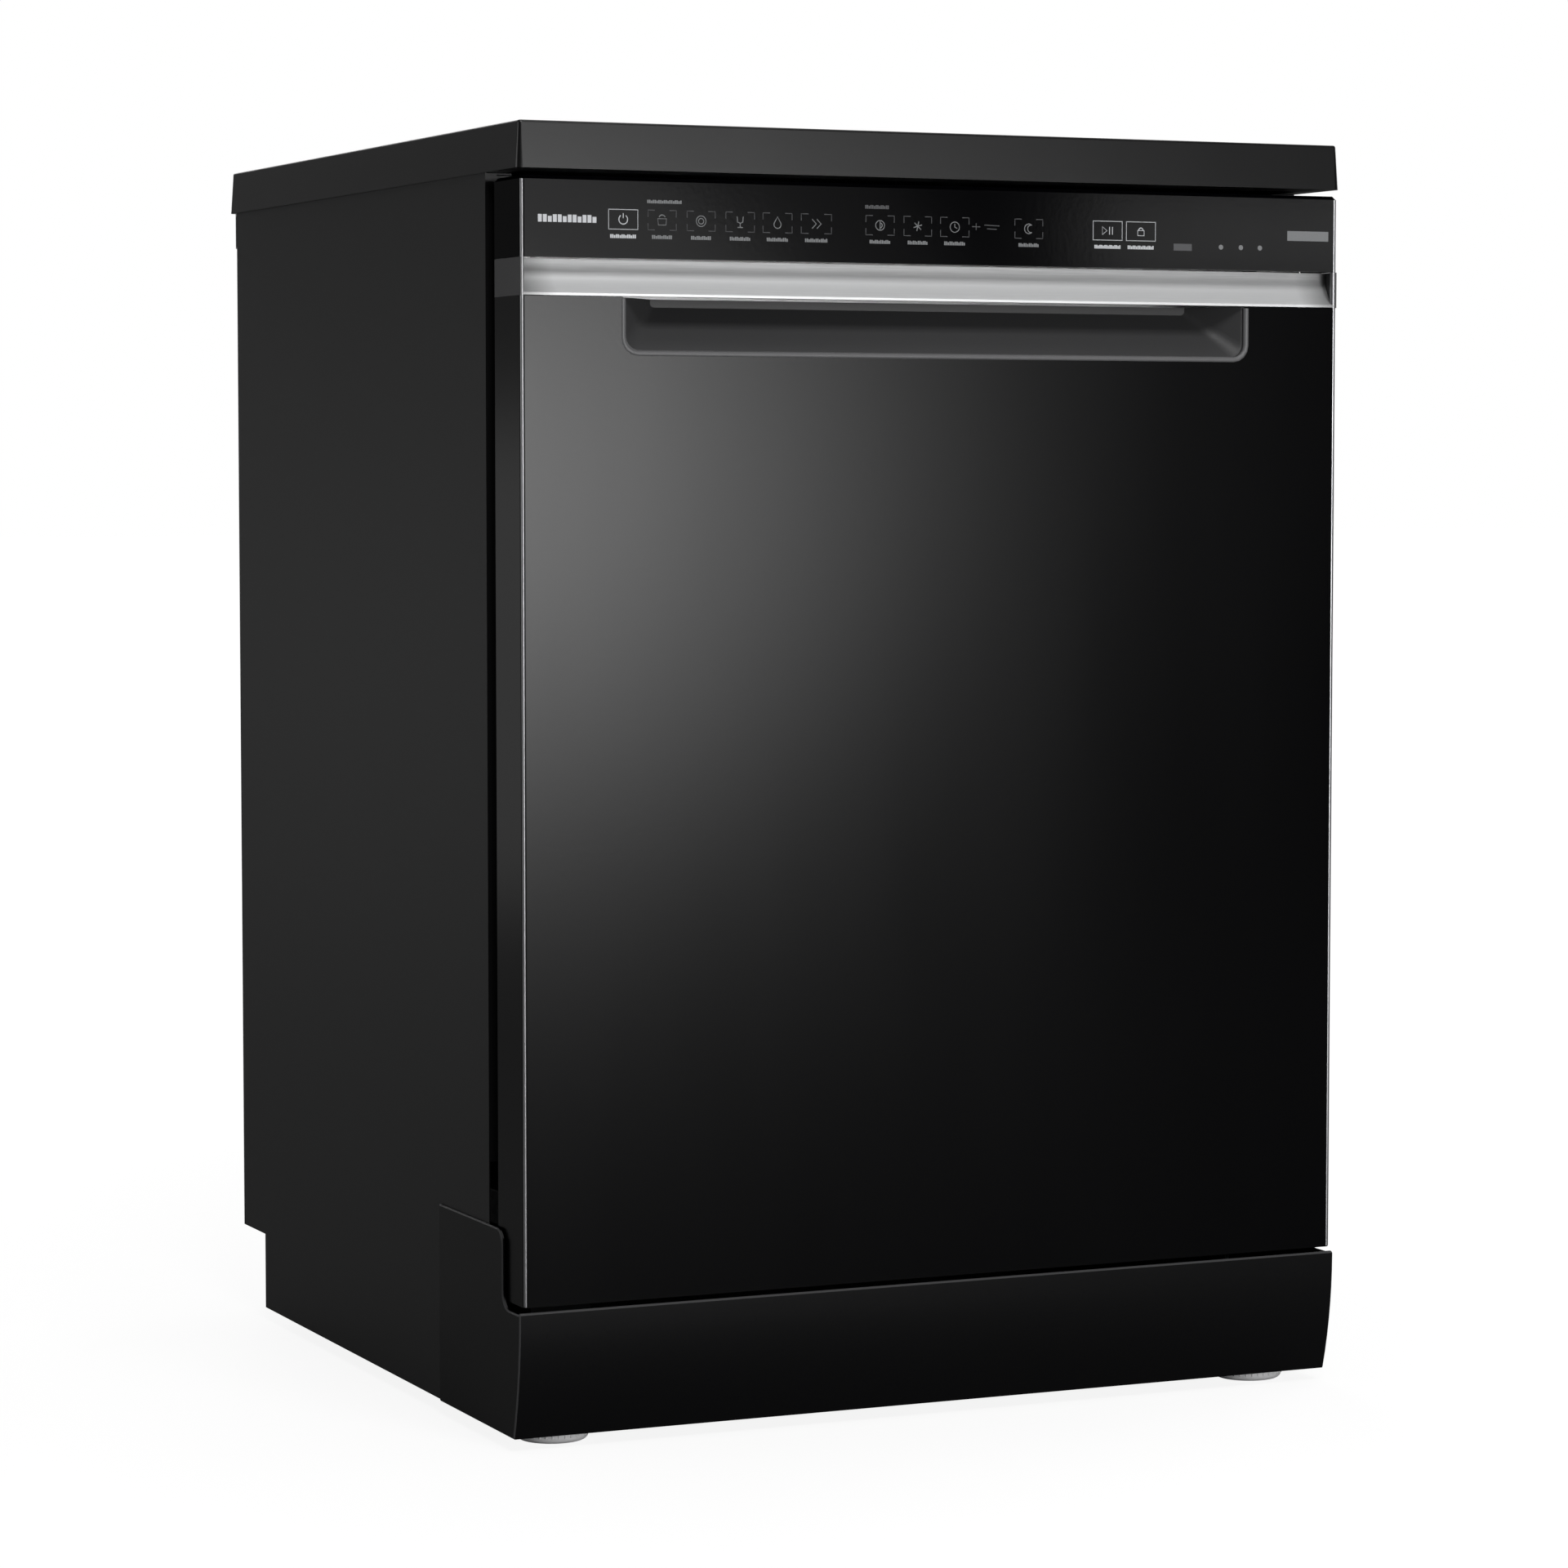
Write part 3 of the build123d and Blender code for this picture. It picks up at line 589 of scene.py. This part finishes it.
# ------------------------------------------------------------------ operators
class DISHWASHER_OT_finishes(bpy.types.Operator):
    """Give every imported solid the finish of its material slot"""

    bl_idname = "dishwasher.finishes"
    bl_label = "Apply finishes"

    def execute(self, context):
        look = context.scene.dishwasher_finish
        door = tuple(look.door_colour)
        PAINTS.update(
            {
                "worktop_black": lacquer("worktop_lacquer", door, 0.29, 0.46),
                "casing_black": painted_sheet("casing_paint", tuple(look.casing_colour), 0.42),
                "door_black": lacquer("door_lacquer", door, look.door_rough, 0.13),
                "fascia_black": lacquer("fascia_lacquer", door, 0.10, 0.033),
                "trim_aluminium": satin_strip("satin_strip", tuple(look.strip_colour), 0.271),
                "trim_black": moulding("black_moulding", (0.03, 0.03, 0.031), 0.5),
                "end_cap_grey": moulding("end_cap_moulding", (0.07, 0.07, 0.072), 0.42),
                "plinth_black": edge_highlit_moulding("plinth_moulding", (0.0024, 0.0024, 0.0027), 0.055),
                "foot_grey": moulding("foot_moulding", (0.78, 0.78, 0.79), 0.45),
                "zinc_sheet": galvanised("zinc_sheet", (0.56, 0.57, 0.58)),
                "stainless": brushed("stainless_sheet", (0.60, 0.60, 0.60), 0.34, (1.0, 1.0, 0.03)),
                "base_grey": moulding("base_moulding", (0.10, 0.105, 0.11), 0.5),
                "light_grey_plastic": moulding("grey_moulding", PLASTIC_GREY, 0.42),
                "rack_wire": moulding("rack_coating", (0.36, 0.37, 0.39), 0.35, 400.0, 0.06),
                "rubber_black": elastomer("black_rubber", (0.012, 0.012, 0.012)),
                "felt": felted("felt_mat", (0.16, 0.16, 0.15)),
                "spring_steel": brushed("spring_wire", (0.45, 0.45, 0.46), 0.35, (1.0, 0.1, 1.0)),
                "motor_black": painted_sheet("motor_paint", (0.03, 0.03, 0.032), 0.4),
                "valve_white": moulding("valve_moulding", (0.72, 0.72, 0.70), 0.4),
                "pocket_grey": moulding("pocket_moulding", (0.035, 0.035, 0.036), 0.5),
                "rim_grey": moulding("rim_moulding", (0.11, 0.11, 0.113), 0.42),
                "edge_metal": brushed("edge_metal", (0.34, 0.34, 0.35), 0.38, (1.0, 1.0, 0.02)),
                # the last value is the strength of each ink's painted glow
                "ink_bright": printed_ink("ink_bright", (0.55, 0.56, 0.58), 0.10),
                "ink_plain": printed_ink("ink_plain", (0.20, 0.205, 0.21), 0.04),
                "ink_faint": printed_ink("ink_faint", (0.085, 0.086, 0.09), 0.02),
            }
        )
        for part in frame["record"]["subparts"]:
            node = frame["nodes"][part["node"]]
            node.data.materials.clear()
            node.data.materials.append(PAINTS[part["material_slot"]])
        return {"FINISHED"}


def arc(x, z, radius, start, end, steps=10):
    """Points of an arc in the fascia's plane, angles in degrees from the right."""
    points = []
    for i in range(steps + 1):
        angle = math.radians(start + (end - start) * i / steps)
        points.append((x + radius * math.cos(angle), z + radius * math.sin(angle)))
    return points


def ring(x, z, radius, steps=14):
    return arc(x, z, radius, 0, 360, steps)


def symbol_power(x, z):
    return [arc(x, z, 3.0, 125, 415, 16), [(x, z + 0.8), (x, z + 4.0)]]


def symbol_pot(x, z):
    body = [(x - 3, z + 1), (x - 2.6, z - 3), (x + 2.6, z - 3), (x + 3, z + 1), (x - 3, z + 1)]
    return [body, arc(x, z + 1.2, 2.2, 20, 160, 8)]


def symbol_drop(x, z):
    return [arc(x, z - 1, 2.5, 150, 390, 12) + [(x, z + 4)] + [arc(x, z - 1, 2.5, 150, 151, 1)[0]]]


def symbol_plate(x, z):
    return [ring(x, z, 3.4), ring(x, z, 1.8)]


def symbol_glass(x, z):
    bowl = [(x - 2.2, z + 3.6), (x - 1.8, z), (x, z - 0.8), (x + 1.8, z), (x + 2.2, z + 3.6)]
    return [bowl, [(x, z - 0.8), (x, z - 3.4)], [(x - 1.8, z - 3.4), (x + 1.8, z - 3.4)]]


def symbol_fast(x, z):
    first = [(x - 3, z + 3), (x, z), (x - 3, z - 3)]
    second = [(x + 0.4, z + 3), (x + 3.4, z), (x + 0.4, z - 3)]
    return [first, second]


def symbol_clock(x, z):
    return [ring(x, z, 3.4), [(x, z + 2.2), (x, z), (x + 1.7, z - 0.8)]]


def symbol_half(x, z):
    return [ring(x, z, 3.2), [(x, z - 3.2), (x, z + 3.2)], arc(x, z, 1.6, -90, 90, 6)]


def symbol_star(x, z):
    return [
        [(x + 3.2 * math.cos(a), z + 3.2 * math.sin(a)), (x - 3.2 * math.cos(a), z - 3.2 * math.sin(a))]
        for a in (0.3, 1.35, 2.4)
    ]


def symbol_moon(x, z):
    return [arc(x, z, 3.2, 50, 310, 12) + [arc(x + 1.6, z, 2.5, 285, 75, 8)[0]]
            + arc(x + 1.6, z, 2.5, 285, 75, 8)]


def symbol_start(x, z):
    triangle = [(x - 4, z + 2.6), (x - 0.5, z), (x - 4, z - 2.6), (x - 4, z + 2.6)]
    return [triangle, [(x + 1.4, z - 2.6), (x + 1.4, z + 2.6)], [(x + 3.6, z - 2.6), (x + 3.6, z + 2.6)]]


def symbol_lock(x, z):
    foot, top = z - 2.8, z + 0.6
    body = [(x - 2.4, foot), (x + 2.4, foot), (x + 2.4, top), (x - 2.4, top), (x - 2.4, foot)]
    return [body, arc(x, top, 1.7, 0, 180, 8)]


# left and right edge in mm, symbol, and whether the frame is whole or only its corners
KEYS = (
    (-237.0, -217.0, symbol_power, "full"),
    (-210.5, -190.0, symbol_pot, "corner"),
    (-183.5, -163.0, symbol_plate, "corner"),
    (-156.5, -135.5, symbol_glass, "corner"),
    (-130.5, -109.0, symbol_drop, "corner"),
    (-103.5, -81.0, symbol_fast, "corner"),
    (-57.4, -36.0, symbol_half, "corner"),
    (-30.0, -9.0, symbol_star, "corner"),
    (-3.5, 18.3, symbol_clock, "corner"),
    (51.0, 72.6, symbol_moon, "corner"),
    (109.7, 131.5, symbol_start, "full"),
    (134.7, 156.6, symbol_lock, "full"),
)


class DISHWASHER_OT_fascia(bpy.types.Operator):
    """Print the touch keys, their symbols and the lamps on the fascia"""

    bl_idname = "dishwasher.fascia"
    bl_label = "Print fascia"

    def execute(self, context):
        sizes = context.scene.dishwasher_fascia
        low = sizes.frame_low / MM
        high = sizes.frame_high / MM
        middle = (low + high) / 2
        bright, plain, faint = [], [], []
        for left, right, symbol, style in KEYS:
            x = (left + right) / 2
            if style == "full":
                bright.append([(left, low), (right, low), (right, high), (left, high), (left, low)])
                bright.extend(symbol(x, middle))
            else:
                faint.extend(self.corners(left + 0.5, right - 0.5, low, high))
                plain.extend(symbol(x, middle))
        faint.append([(20.0, middle + 0.6), (26.0, middle + 0.6)])
        faint.append([(23.0, middle - 1.6), (23.0, middle + 2.8)])
        faint.append([(29.0, middle + 1.8), (40.0, middle + 1.4)])
        faint.append([(31.0, middle - 0.6), (38.0, middle - 0.9)])
        for name, lines, paint in (
            ("fascia_print_bright", bright, "ink_bright"),
            ("fascia_print_plain", plain, "ink_plain"),
            ("fascia_print_faint", faint, "ink_faint"),
        ):
            paths = [[(x * MM, FRONT + 0.1 * MM, z * MM) for x, z in line] for line in lines]
            piece = wires(name, paths, sizes.stroke, 0.0, PAINTS[paint], 6)
            finish_piece(piece, "door")
        self.bars()
        self.lamps()
        return {"FINISHED"}

    @staticmethod
    def corners(left, right, low, high):
        """Four corner brackets around a key."""
        reach_x = (right - left) * 0.24
        reach_z = (high - low) * 0.34
        paths = []
        for x, inward in ((left, 1), (right, -1)):
            for z, upward in ((low, 1), (high, -1)):
                paths.append([(x + inward * reach_x, z), (x, z), (x, z + upward * reach_z)])
        return paths

    @staticmethod
    def bars():
        """Rows of little blocks where captions would be, and the blank badge and sticker.

        A row is its left, right, bottom and top edge and the pitch of its blocks, in mm.
        """
        rows = {"ink_bright": [], "ink_plain": [], "ink_faint": []}
        for left, right, _, style in KEYS:
            inset = 1.0 if style == "full" else 3.2
            kind = "ink_bright" if style == "full" else "ink_plain"
            row = (left + inset, right - inset, CAPTION_LOW, CAPTION_HIGH, CAPTION_PITCH)
            rows[kind].append(row)
        rows["ink_plain"].append((-210.5, -186.5, 799.4, 801.6, CAPTION_PITCH))
        rows["ink_faint"].append((-57.4, -40.2, 799.4, 801.8, CAPTION_PITCH))
        rows["ink_faint"].append((170.5, 184.4, 776.6, 781.2, 13.9))
        rows["ink_bright"].append((-285.0, -244.6, 786.2, 791.0, 3.4))
        rows["ink_plain"].append((258.0, 290.0, 784.8, 791.4, 32.0))
        for kind, lines in rows.items():
            shell = bmesh.new()
            for left, right, low, high, pitch in lines:
                count = max(1, round((right - left) / pitch))
                step = (right - left) / count
                for i in range(count):
                    start = left + step * i
                    end = start + step * (0.78 if count > 1 else 1.0)
                    drop = (high - low) * 0.22 * ((i * 5) % 3 == 1)
                    add_box(
                        shell,
                        (start * MM, FRONT - 0.06 * MM, low * MM),
                        (end * MM, FRONT + 0.3 * MM, (high - drop) * MM),
                    )
            piece = loose_object("fascia_blocks_" + kind[4:], shell)
            piece.data.materials.append(PAINTS[kind])
            finish_piece(piece, "door", smooth=False)

    @staticmethod
    def lamps():
        shell = bmesh.new()
        add_disc(shell, (0, 0, 0), (0, 1, 0), 1.7 * MM, 0.5 * MM, 16)
        shape = loose_object("lamp_shape", shell)
        points = [(x * MM, FRONT + 0.1 * MM, 779.5 * MM) for x in (206.7, 222.0, 236.7)]
        piece = scatter("indicator_lamps", points, shape, PAINTS["ink_plain"])
        finish_piece(piece, "door")


class DISHWASHER_OT_trims(bpy.types.Operator):
    """Grey metal wire down both sides of the door as a painted highlight on its rounded edges, and the
    rim of the hand pocket
    """

    bl_idname = "dishwasher.trims"
    bl_label = "Fit door trims"

    def execute(self, context):
        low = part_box("door_outer_panel")[0]
        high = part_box("control_panel")[1]
        # the grey wires stand in for the highlight on the door's rounded side edges: a painted
        # highlight, wider on the right
        for side, radius in ((-1, 1.15 * MM), (1, 1.9 * MM)):
            x = side * (high.x - radius - 0.1 * MM)
            y = FRONT + radius - 0.1 * MM
            path = [(x, y, low.z + 0.6 * MM), (x, y, high.z - 2.5 * MM)]
            name = "door_edging_right" if side > 0 else "door_edging_left"
            edge = wires(name, [path], radius, 0.0, PAINTS["edge_metal"], 16)
            finish_piece(edge, "door")
        pocket_low, pocket_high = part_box("handle_pocket")
        half = pocket_high.x - 3.0 * MM
        z = pocket_low.z + 3.4 * MM
        y = FRONT + 1.5 * MM
        top = pocket_high.z - 0.8 * MM
        path = [(-half, y, top), (-half, y, z), (half, y, z), (half, y, top)]
        rim = wires("pocket_rim", [path], 2.1 * MM, 10 * MM, PAINTS["rim_grey"], 12)
        finish_piece(rim, "door")
        return {"FINISHED"}


def basket_paths(low, high, columns, rows, splay):
    """Wire paths of a basket between two corners: columns, rows and two rim loops."""
    paths = []
    xs = [low.x + (high.x - low.x) * (i + 0.5) / columns for i in range(columns)]
    ys = [low.y + (high.y - low.y) * (i + 0.5) / rows for i in range(rows)]
    front, back = low.y + splay, high.y - splay
    left, right = low.x + splay, high.x - splay
    lift = low.z + 3.4 * MM
    for x in xs:
        paths.append([(x, low.y, high.z), (x, front, low.z), (x, back, low.z), (x, high.y, high.z)])
    for y in ys:
        paths.append([(low.x, y, high.z), (left, y, lift), (right, y, lift), (high.x, y, high.z)])
    return paths


def loop(low, high, z):
    return [
        (low.x, low.y, z),
        (high.x, low.y, z),
        (high.x, high.y, z),
        (low.x, high.y, z),
        (low.x, low.y, z),
    ]


class DISHWASHER_OT_racks(bpy.types.Operator):
    """Weave the two wire baskets with their tines, grips and wheel carriers"""

    bl_idname = "dishwasher.racks"
    bl_label = "Weave racks"

    def execute(self, context):
        sizes = context.scene.dishwasher_rack
        wire = sizes.wire
        coat = PAINTS["rack_wire"]
        for name, floor in RACK_FLOORS.items():
            half = RACK_HALVES[name] - wire
            low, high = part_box(name)
            low = Vector((-half, low.y + wire, floor + wire))
            high = Vector((half, high.y - wire, high.z - 2.0 * wire))
            paths = basket_paths(low, high, sizes.columns, sizes.rows, BASKET_SPLAY)
            weave = wires(name + "_weave", paths, wire, sizes.bend, coat, 8)
            finish_piece(weave, name, (name,))
            rims = [loop(low, high, high.z)]
            rims.append(loop(low, high, low.z + (high.z - low.z) * MIDDLE_RIM))
            rim = wires(name + "_rim", rims, sizes.rim, 22 * MM, coat, 10)
            finish_piece(rim, name)
            self.tines(name, low.z + 2.2 * wire, wire, coat)
            self.grip(name, low.y, high.z)
        self.carriers()
        self.upper_rails()
        return {"FINISHED"}

    @staticmethod
    def tines(name, lift, wire, coat):
        """Rows of hairpin tines, standing on a cross wire."""
        paths = []
        if name == "lower_rack":
            spans = ((-0.20, -0.04, 74 * MM),)
            rows = (0.0, 0.04, 0.08, 0.12, 0.16)
        else:
            spans = ((-0.225, -0.12, 60 * MM), (0.06, 0.21, 46 * MM))
            rows = (-0.16, -0.1, -0.04, 0.02, 0.08, 0.14)
        for left, right, tall in spans:
            for y in rows:
                paths.append([(left, y, lift), (right, y, lift)])
                count = max(2, round((right - left) / TINE_PITCH))
                for i in range(count):
                    x = left + (right - left) * (i + 0.5) / count
                    outline = ((-5, lift), (-3, lift + tall), (3, lift + tall), (5, lift))
                    paths.append([(x + offset * MM, y, z) for offset, z in outline])
        piece = wires(name + "_tines", paths, wire * 0.8, 3 * MM, coat, 6)
        replaced = ("lower_tines",) if name == "lower_rack" else ()
        finish_piece(piece, name, replaced)

    @staticmethod
    def grip(name, rim_y, rim_z):
        """A moulded finger grip clipped over the front rim."""
        shell = bmesh.new()
        front = rim_y - 1.5 * MM
        low = (-0.07, front, rim_z - 26 * MM)
        high = (0.07, front + 7 * MM, rim_z + 3 * MM)
        add_box(shell, low, high, 2.5 * MM, 3)
        low = (-0.055, front - 2.5 * MM, rim_z - 20 * MM)
        high = (0.055, front + 2 * MM, rim_z - 5 * MM)
        add_box(shell, low, high, 2 * MM, 3)
        piece = loose_object(name + "_grip", shell)
        piece.data.materials.append(PAINTS["light_grey_plastic"])
        finish_piece(piece, name)

    @staticmethod
    def carriers():
        """Wheel carriers with their axle pins under the lower basket."""
        shell = bmesh.new()
        for wheel in ("front_left", "front_right", "rear_left", "rear_right"):
            low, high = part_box("rack_wheel_" + wheel)
            centre = (low + high) / 2
            side = 1 if centre.x > 0 else -1
            inner = sorted((side * 0.2375, side * 0.247))
            add_box(
                shell,
                (inner[0], centre.y - 9 * MM, centre.z - 8 * MM),
                (inner[1], centre.y + 9 * MM, 203 * MM),
                2 * MM,
                3,
            )
            add_disc(shell, (side * 0.2545, centre.y, centre.z), (1, 0, 0), 2.9 * MM, 17 * MM, 16)
        piece = loose_object("wheel_carriers", shell)
        piece.data.materials.append(PAINTS["light_grey_plastic"])
        finish_piece(piece, "lower_rack")

    @staticmethod
    def upper_rails():
        """The upper basket's own rail members and their clips."""
        shell = bmesh.new()
        for side in (-1, 1):
            rail = sorted((side * 0.2526, side * 0.258))
            add_box(shell, (rail[0], -0.222, 0.466), (rail[1], 0.218, 0.482), 1 * MM, 2)
            for y in (-0.1075, 0.1135):
                clip = sorted((side * 0.243, side * 0.2535))
                add_box(shell, (clip[0], y - 0.014, 0.46), (clip[1], y + 0.014, 0.49), 1.5 * MM, 2)
        piece = loose_object("upper_rack_rails", shell)
        piece.data.materials.append(PAINTS["stainless"])
        finish_piece(piece, "upper_rack")


class DISHWASHER_OT_fixings(bpy.types.Operator):
    """Screws, rating plate, spray jets and foot ribs"""

    bl_idname = "dishwasher.fixings"
    bl_label = "Add fixings"

    def execute(self, context):
        shell = bmesh.new()
        add_disc(shell, (0, 0.9 * MM, 0), (0, 1, 0), 4.6 * MM, 1.8 * MM, 18, 3.4 * MM)
        add_disc(shell, (0, 0.0, 0), (0, 1, 0), 5.6 * MM, 0.8 * MM, 18)
        shape = loose_object("screw_shape", shell)
        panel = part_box("rear_panel")
        face = panel[1].y - 1.1 * MM
        points = [(x, face, z) for x in (-0.285, 0.285) for z in (0.10, 0.27, 0.44, 0.61, 0.77)]
        piece = scatter("rear_screws", points, shape, PAINTS["spring_steel"])
        finish_piece(piece, "chassis")
        self.rating_plate(panel)
        self.nozzles()
        self.foot_ribs()
        return {"FINISHED"}

    @staticmethod
    def rating_plate(panel):
        """A blank foil plate riveted to the rear."""
        shell = bmesh.new()
        y = panel[1].y
        add_box(shell, (0.128, y - 2.2 * MM, 0.60), (0.204, y - 1.0 * MM, 0.65), 0.3 * MM, 1)
        piece = loose_object("rating_plate", shell)
        piece.data.materials.append(PAINTS["valve_white"])
        finish_piece(piece, "chassis")

    @staticmethod
    def nozzles():
        """Raised jets along both spray arms."""
        for name in ("lower_spray_arm", "upper_spray_arm"):
            low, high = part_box(name)
            centre = (low + high) / 2
            shell = bmesh.new()
            add_disc(shell, (0, 0, 0.6 * MM), (0, 0, 1), 5.2 * MM, 2.4 * MM, 14, 3.2 * MM)
            shape = loose_object("jet_shape", shell)
            reach = (high.x - low.x) / 2
            points = []
            for share in (-0.86, -0.66, -0.44, 0.30, 0.52, 0.76):
                points.append((centre.x + reach * share, centre.y + 8 * MM * share, high.z))
            piece = scatter(name + "_jets", points, shape, PAINTS["light_grey_plastic"])
            finish_piece(piece, name)

    @staticmethod
    def foot_ribs():
        """Grip ribs around each levelling foot."""
        for corner in ("front_left", "front_right", "rear_left", "rear_right"):
            low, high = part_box("foot_" + corner)
            centre = (low + high) / 2
            shell = bmesh.new()
            rib_low = (-0.6 * MM, -0.5 * MM, 3.6 * MM)
            rib_high = (0.6 * MM, 0.5 * MM, 7.0 * MM)
            add_box(shell, rib_low, rib_high, 0.2 * MM, 1)
            shape = loose_object("rib_shape", shell)
            radius = (high.x - low.x) / 2
            points = []
            for i in range(RIB_COUNT):
                angle = math.tau * i / RIB_COUNT
                x = centre.x + radius * math.cos(angle)
                y = centre.y + radius * math.sin(angle)
                points.append((x, y, 0.0))
            piece = scatter("foot_ribs_" + corner, points, shape, PAINTS["foot_grey"])
            finish_piece(piece, "foot_" + corner)


class DISHWASHER_OT_stage(bpy.types.Operator):
    """Floor, soft studio light and camera"""

    bl_idname = "dishwasher.stage"
    bl_label = "Set stage"

    def execute(self, context):
        stage = context.scene.dishwasher_stage
        self.floor()
        self.world(context.scene)
        key = stage.key_power
        aim = (-0.25, -0.30, 0.60)
        self.softbox("key_core", (0.80, -3.70, 0.64), aim, (0.74, 0.56), key * 0.22, "ELLIPSE")
        self.softbox("key_middle", (0.74, -3.72, 0.64), aim, (1.40, 1.06), key * 0.50, "ELLIPSE")
        self.softbox("key_wide", (0.66, -3.74, 0.66), aim, (2.00, 1.50), key * 0.28, "ELLIPSE")
        self.softbox("front_top", (-0.3, -2.7, 3.0), (0.0, -0.3, 0.6), (1.8, 1.0), stage.top_power)
        self.softbox("top", (0.2, 0.2, 3.4), (0.0, 0.0, 0.4), (2.6, 2.6), 32.0)
        edge = self.softbox("fascia_edge", (2.42, -3.7, 0.985), (0.25, -0.3, 0.8), (0.95, 0.17), 6.0)
        self.lights_only(edge, "control_panel")
        self.softbox("left", (-3.6, 0.9, 1.2), (0.0, 0.0, 0.40), (1.8, 1.8), 18.0)
        self.softbox("left_rear", (-2.0, 3.2, 0.30), (-0.3, 0.0, 0.40), (1.6, 0.8), 1.6)
        self.softbox("right", (3.4, 1.6, 1.6), (0.0, 0.0, 0.45), (2.0, 2.0), 26.0)
        self.softbox("rear", (0.6, 4.0, 1.6), (0.0, 0.0, 0.45), (2.2, 2.0), 30.0)
        camera = bpy.data.cameras.new("camera")
        camera.sensor_width = 36.0
        camera.lens = stage.lens
        eye = bpy.data.objects.new("camera", camera)
        eye.location = (-1.3612, -3.0891, 0.6302)
        eye.rotation_euler = (math.radians(90 - 3.817), 0.0, math.radians(-24.073))
        context.scene.collection.objects.link(eye)
        context.scene.camera = eye
        context.scene.view_settings.view_transform = "Standard"
        return {"FINISHED"}

    @staticmethod
    def floor():
        shell = bmesh.new()
        bmesh.ops.create_grid(shell, x_segments=2, y_segments=2, size=40.0)
        bmesh.ops.translate(shell, vec=(0.0, 0.0, -0.3 * MM), verts=shell.verts)
        floor = loose_object("floor", shell)
        finish = Finish("floor_paper", Specular_IOR_Level=0.1, Emission_Strength=1.0)
        tone = finish.noise(0.6, 2.0)
        across, along, _ = finish.split(finish.coords)
        far = finish.limit((across * across + along * along) * 0.16)
        seen = finish.node("LightPath", "Is Camera Ray")
        glow = finish.mix(far, (0.88, 0.88, 0.88, 1), (1.0, 1.0, 1.0, 1))
        finish.set(
            Base_Color=finish.mix(tone, (0.14, 0.14, 0.14, 1), (0.15, 0.15, 0.15, 1)),
            Emission_Color=finish.mix(seen, (0.0, 0.0, 0.0, 1), glow),
            Roughness=0.9,
        )
        floor.data.materials.append(finish.material)

    @staticmethod
    def world(scene):
        """Even pale surroundings, softer in reflections than to the eye."""
        world = bpy.data.worlds.new("studio")
        world.use_nodes = True
        tree = world.node_tree
        tree.nodes.clear()
        path = tree.nodes.new("ShaderNodeLightPath")
        seen = tree.nodes.new("ShaderNodeBackground")
        seen.inputs["Color"].default_value = (1.0, 1.0, 1.0, 1.0)
        seen.inputs["Strength"].default_value = 1.0
        mirrored = tree.nodes.new("ShaderNodeBackground")
        mirrored.inputs["Color"].default_value = (1.0, 1.0, 1.0, 1.0)
        mirrored.inputs["Strength"].default_value = 0.11
        mixed = tree.nodes.new("ShaderNodeMixShader")
        output = tree.nodes.new("ShaderNodeOutputWorld")
        tree.links.new(path.outputs["Is Camera Ray"], mixed.inputs["Fac"])
        tree.links.new(mirrored.outputs[0], mixed.inputs[1])
        tree.links.new(seen.outputs[0], mixed.inputs[2])
        tree.links.new(mixed.outputs[0], output.inputs["Surface"])
        scene.world = world

    @staticmethod
    def softbox(name, place, aim, size, power, shape="RECTANGLE"):
        light = bpy.data.lights.new(name, "AREA")
        light.shape = shape
        light.size, light.size_y = size
        light.energy = power
        lamp = bpy.data.objects.new(name, light)
        lamp.location = place
        direction = Vector(aim) - Vector(place)
        lamp.rotation_euler = direction.to_track_quat("-Z", "Y").to_euler()
        lamp.visible_camera = False
        bpy.context.scene.collection.objects.link(lamp)
        return lamp

    @staticmethod
    def lights_only(lamp, *names):
        """Makes the lamp light nothing but the named nodes."""
        receivers = bpy.data.collections.new(lamp.name + "_receivers")
        for name in names:
            receivers.objects.link(frame["nodes"][name])
        lamp.light_linking.receiver_collection = receivers


class DISHWASHER_PT_panel(bpy.types.Panel):
    """The dressing steps in order"""

    bl_label = "Dishwasher"
    bl_idname = "DISHWASHER_PT_panel"
    bl_space_type = "VIEW_3D"
    bl_region_type = "UI"
    bl_category = "Dishwasher"

    def draw(self, context):
        for operator in OPERATORS:
            self.layout.operator(operator.bl_idname)
        for group, attribute in SETTINGS:
            box = self.layout.box()
            values = getattr(context.scene, attribute)
            for key in group.__annotations__:
                box.prop(values, key)


OPERATORS = (
    DISHWASHER_OT_finishes,
    DISHWASHER_OT_fascia,
    DISHWASHER_OT_trims,
    DISHWASHER_OT_racks,
    DISHWASHER_OT_fixings,
    DISHWASHER_OT_stage,
)
SETTINGS = (
    (FinishSettings, "dishwasher_finish"),
    (FasciaSettings, "dishwasher_fascia"),
    (RackSettings, "dishwasher_rack"),
    (StageSettings, "dishwasher_stage"),
)


def register():
    for group, attribute in SETTINGS:
        bpy.utils.register_class(group)
        setattr(bpy.types.Scene, attribute, bpy.props.PointerProperty(type=group))
    for operator in OPERATORS:
        bpy.utils.register_class(operator)
    bpy.utils.register_class(DISHWASHER_PT_panel)


def unregister():
    bpy.utils.unregister_class(DISHWASHER_PT_panel)
    for operator in reversed(OPERATORS):
        bpy.utils.unregister_class(operator)
    for group, attribute in reversed(SETTINGS):
        delattr(bpy.types.Scene, attribute)
        bpy.utils.unregister_class(group)


def main():
    register()
    bpy.ops.dishwasher.finishes()
    bpy.ops.dishwasher.fascia()
    bpy.ops.dishwasher.trims()
    bpy.ops.dishwasher.racks()
    bpy.ops.dishwasher.fixings()
    bpy.ops.dishwasher.stage()


if __name__ == "__main__":
    main()
